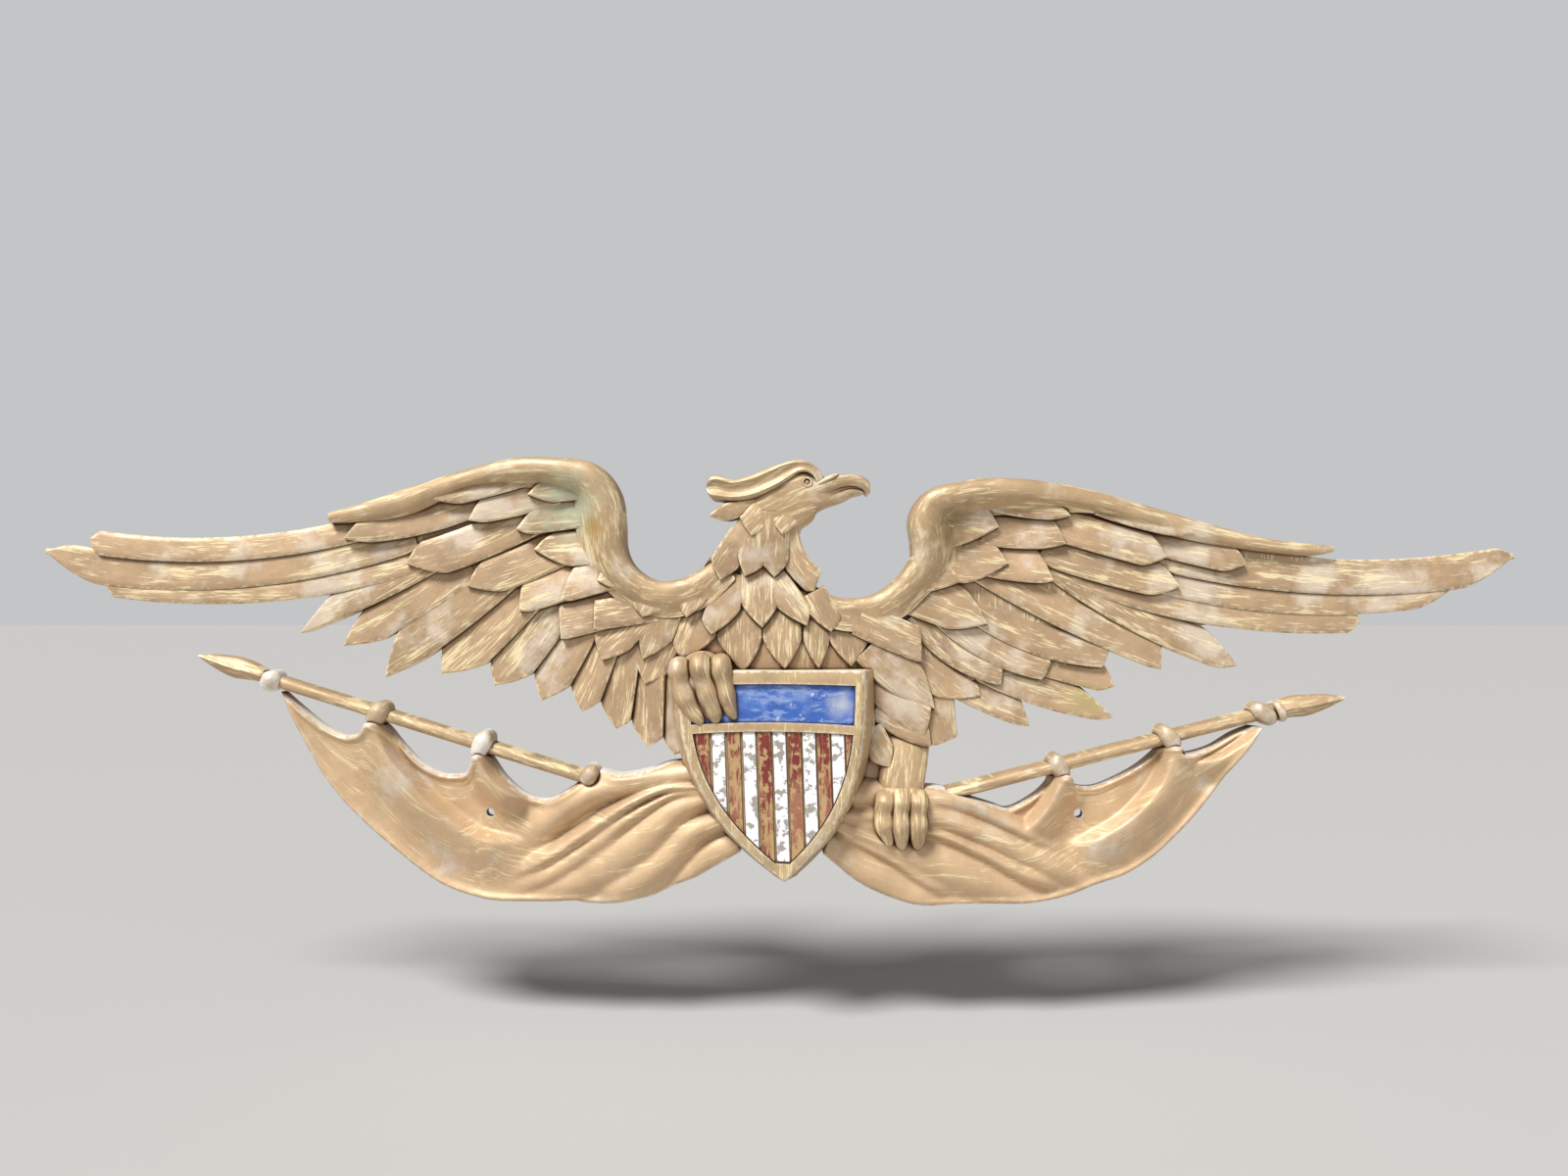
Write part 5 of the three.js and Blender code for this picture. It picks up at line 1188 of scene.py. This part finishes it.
class PLAQUE_OT_casting(bpy.types.Operator):
    """Joins all the forms into one casting with a flat back and screw holes"""
    bl_idname = "plaque.casting"
    bl_label = "Join the casting"

    def execute(self, context):
        shapes = list(forms().objects)
        if not shapes:
            raise RuntimeError("make the eagle, the shield and the flags first")
        for shape in shapes:
            forms().objects.unlink(shape)
        casting = combine(shapes[0], shapes[1:], "UNION")
        frame_ring = [(-400, -130), (400, -130), (400, 130), (-400, 130)]
        combine(casting, [prism("wall_side", frame_ring, 0, 60, "Bare casting")], "INTERSECT")
        turn = np.linspace(0, 2 * np.pi, 25)[:-1]
        drills = [prism(f"screw_{k}", [(x + SCREW_HOLE * math.cos(t), z + SCREW_HOLE * math.sin(t))
                                       for t in turn], -10, 60, "Bare casting")
                  for k, (x, z) in enumerate(SCREW_PLACES)]
        combine(casting, drills, "DIFFERENCE")
        for shape in shapes[1:]:
            bpy.data.objects.remove(shape)
        casting.name = "plaque_relief"
        casting.data.name = "plaque_relief"
        mesh = casting.data
        mesh.polygons.foreach_set("use_smooth", [True] * len(mesh.polygons))
        mesh.set_sharp_from_angle(angle=context.scene.plaque.sharp_angle)
        context.scene.collection.objects.link(casting)
        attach(casting, "root")
        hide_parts("eagle_plaque")
        print("casting faces", len(mesh.polygons), "loose triangles", len(mesh.loops) - 2 * len(mesh.polygons))
        return {"FINISHED"}


class PLAQUE_OT_studio(bpy.types.Operator):
    """Sets the pale floor, the soft lights and the camera"""
    bl_idname = "plaque.studio"
    bl_label = "Set the studio"

    def execute(self, context):
        scene = context.scene
        mesh = bpy.data.meshes.new("floor")
        reach, level = 6.0, -0.16
        mesh.from_pydata([(-reach, -reach, level), (reach, -reach, level), (reach, reach, level),
                          (-reach, reach, level)], [], [(0, 1, 2, 3)])
        floor = bpy.data.objects.new("floor", mesh)
        material = bpy.data.materials.new("Pale floor")
        material.use_nodes = True
        surface = material.node_tree.nodes["Principled BSDF"]
        surface.inputs["Base Color"].default_value = scene.plaque.floor_tint
        surface.inputs["Roughness"].default_value = 0.7
        mesh.materials.append(material)
        scene.collection.objects.link(floor)
        world = bpy.data.worlds.new("Studio")
        world.use_nodes = True
        sky = world.node_tree.nodes["Background"]
        sky.inputs[0].default_value = (0.92, 0.93, 0.95, 1)
        seen = world.node_tree.nodes.new("ShaderNodeLightPath").outputs["Is Camera Ray"]
        Nodes(world.node_tree).set(sky.inputs[1], Nodes(world.node_tree).ramp(seen, 0.0, 1.0, 0.22, 0.6))
        scene.world = world
        for name, kind, place, size, power in (("key", "SUN", (-0.6, -0.8, 1.35), 0.3, 4.2),
                                               ("fill", "AREA", (1.1, -1.2, 0.35), 1.2, 3.5)):
            light = bpy.data.lights.new(name, kind)
            setattr(light, "angle" if kind == "SUN" else "size", size)
            light.energy = power
            lamp = bpy.data.objects.new(name, light)
            lamp.location = place
            aim = Vector((0.0, 0.0, 0.0)) - lamp.location
            lamp.rotation_euler = aim.to_track_quat("-Z", "Y").to_euler()
            scene.collection.objects.link(lamp)
        view = bpy.data.cameras.new("camera")
        view.lens = 36.0 * 1202.0 / 1600.0
        view.sensor_width = 36.0
        camera = bpy.data.objects.new("camera", view)
        camera.location = (0.0, -0.557, 0.046)
        camera.rotation_euler = (math.pi / 2, 0.0, 0.0)
        scene.collection.objects.link(camera)
        scene.camera = camera
        scene.view_settings.view_transform = "Standard"
        return {"FINISHED"}


STEPS = (PLAQUE_OT_paints, PLAQUE_OT_eagle, PLAQUE_OT_shield, PLAQUE_OT_flags, PLAQUE_OT_casting,
         PLAQUE_OT_studio)


class PLAQUE_PT_panel(bpy.types.Panel):
    """Lists the plaque's steps and sizes"""
    bl_idname = "PLAQUE_PT_panel"
    bl_label = "Eagle wall plaque"
    bl_space_type = "VIEW_3D"
    bl_region_type = "UI"
    bl_category = "Plaque"

    def draw(self, context):
        column = self.layout.column()
        for step in STEPS:
            column.operator(step.bl_idname)
        for name in PlaqueSettings.__annotations__:
            column.prop(context.scene.plaque, name)


def register():
    for kind in (PlaqueSettings, *STEPS, PLAQUE_PT_panel):
        bpy.utils.register_class(kind)
    bpy.types.Scene.plaque = bpy.props.PointerProperty(type=PlaqueSettings)


def unregister():
    del bpy.types.Scene.plaque
    for kind in (PLAQUE_PT_panel, *reversed(STEPS), PlaqueSettings):
        bpy.utils.unregister_class(kind)


def main():
    register()
    for name in list(bpy.data.objects.keys()):
        if name in ("Cube", "Light", "Camera"):
            bpy.data.objects.remove(bpy.data.objects[name])
    bpy.ops.plaque.paints()
    bpy.ops.plaque.eagle()
    bpy.ops.plaque.shield()
    bpy.ops.plaque.flags()
    bpy.ops.plaque.casting()
    bpy.ops.plaque.studio()


if __name__ == "__main__":
    main()
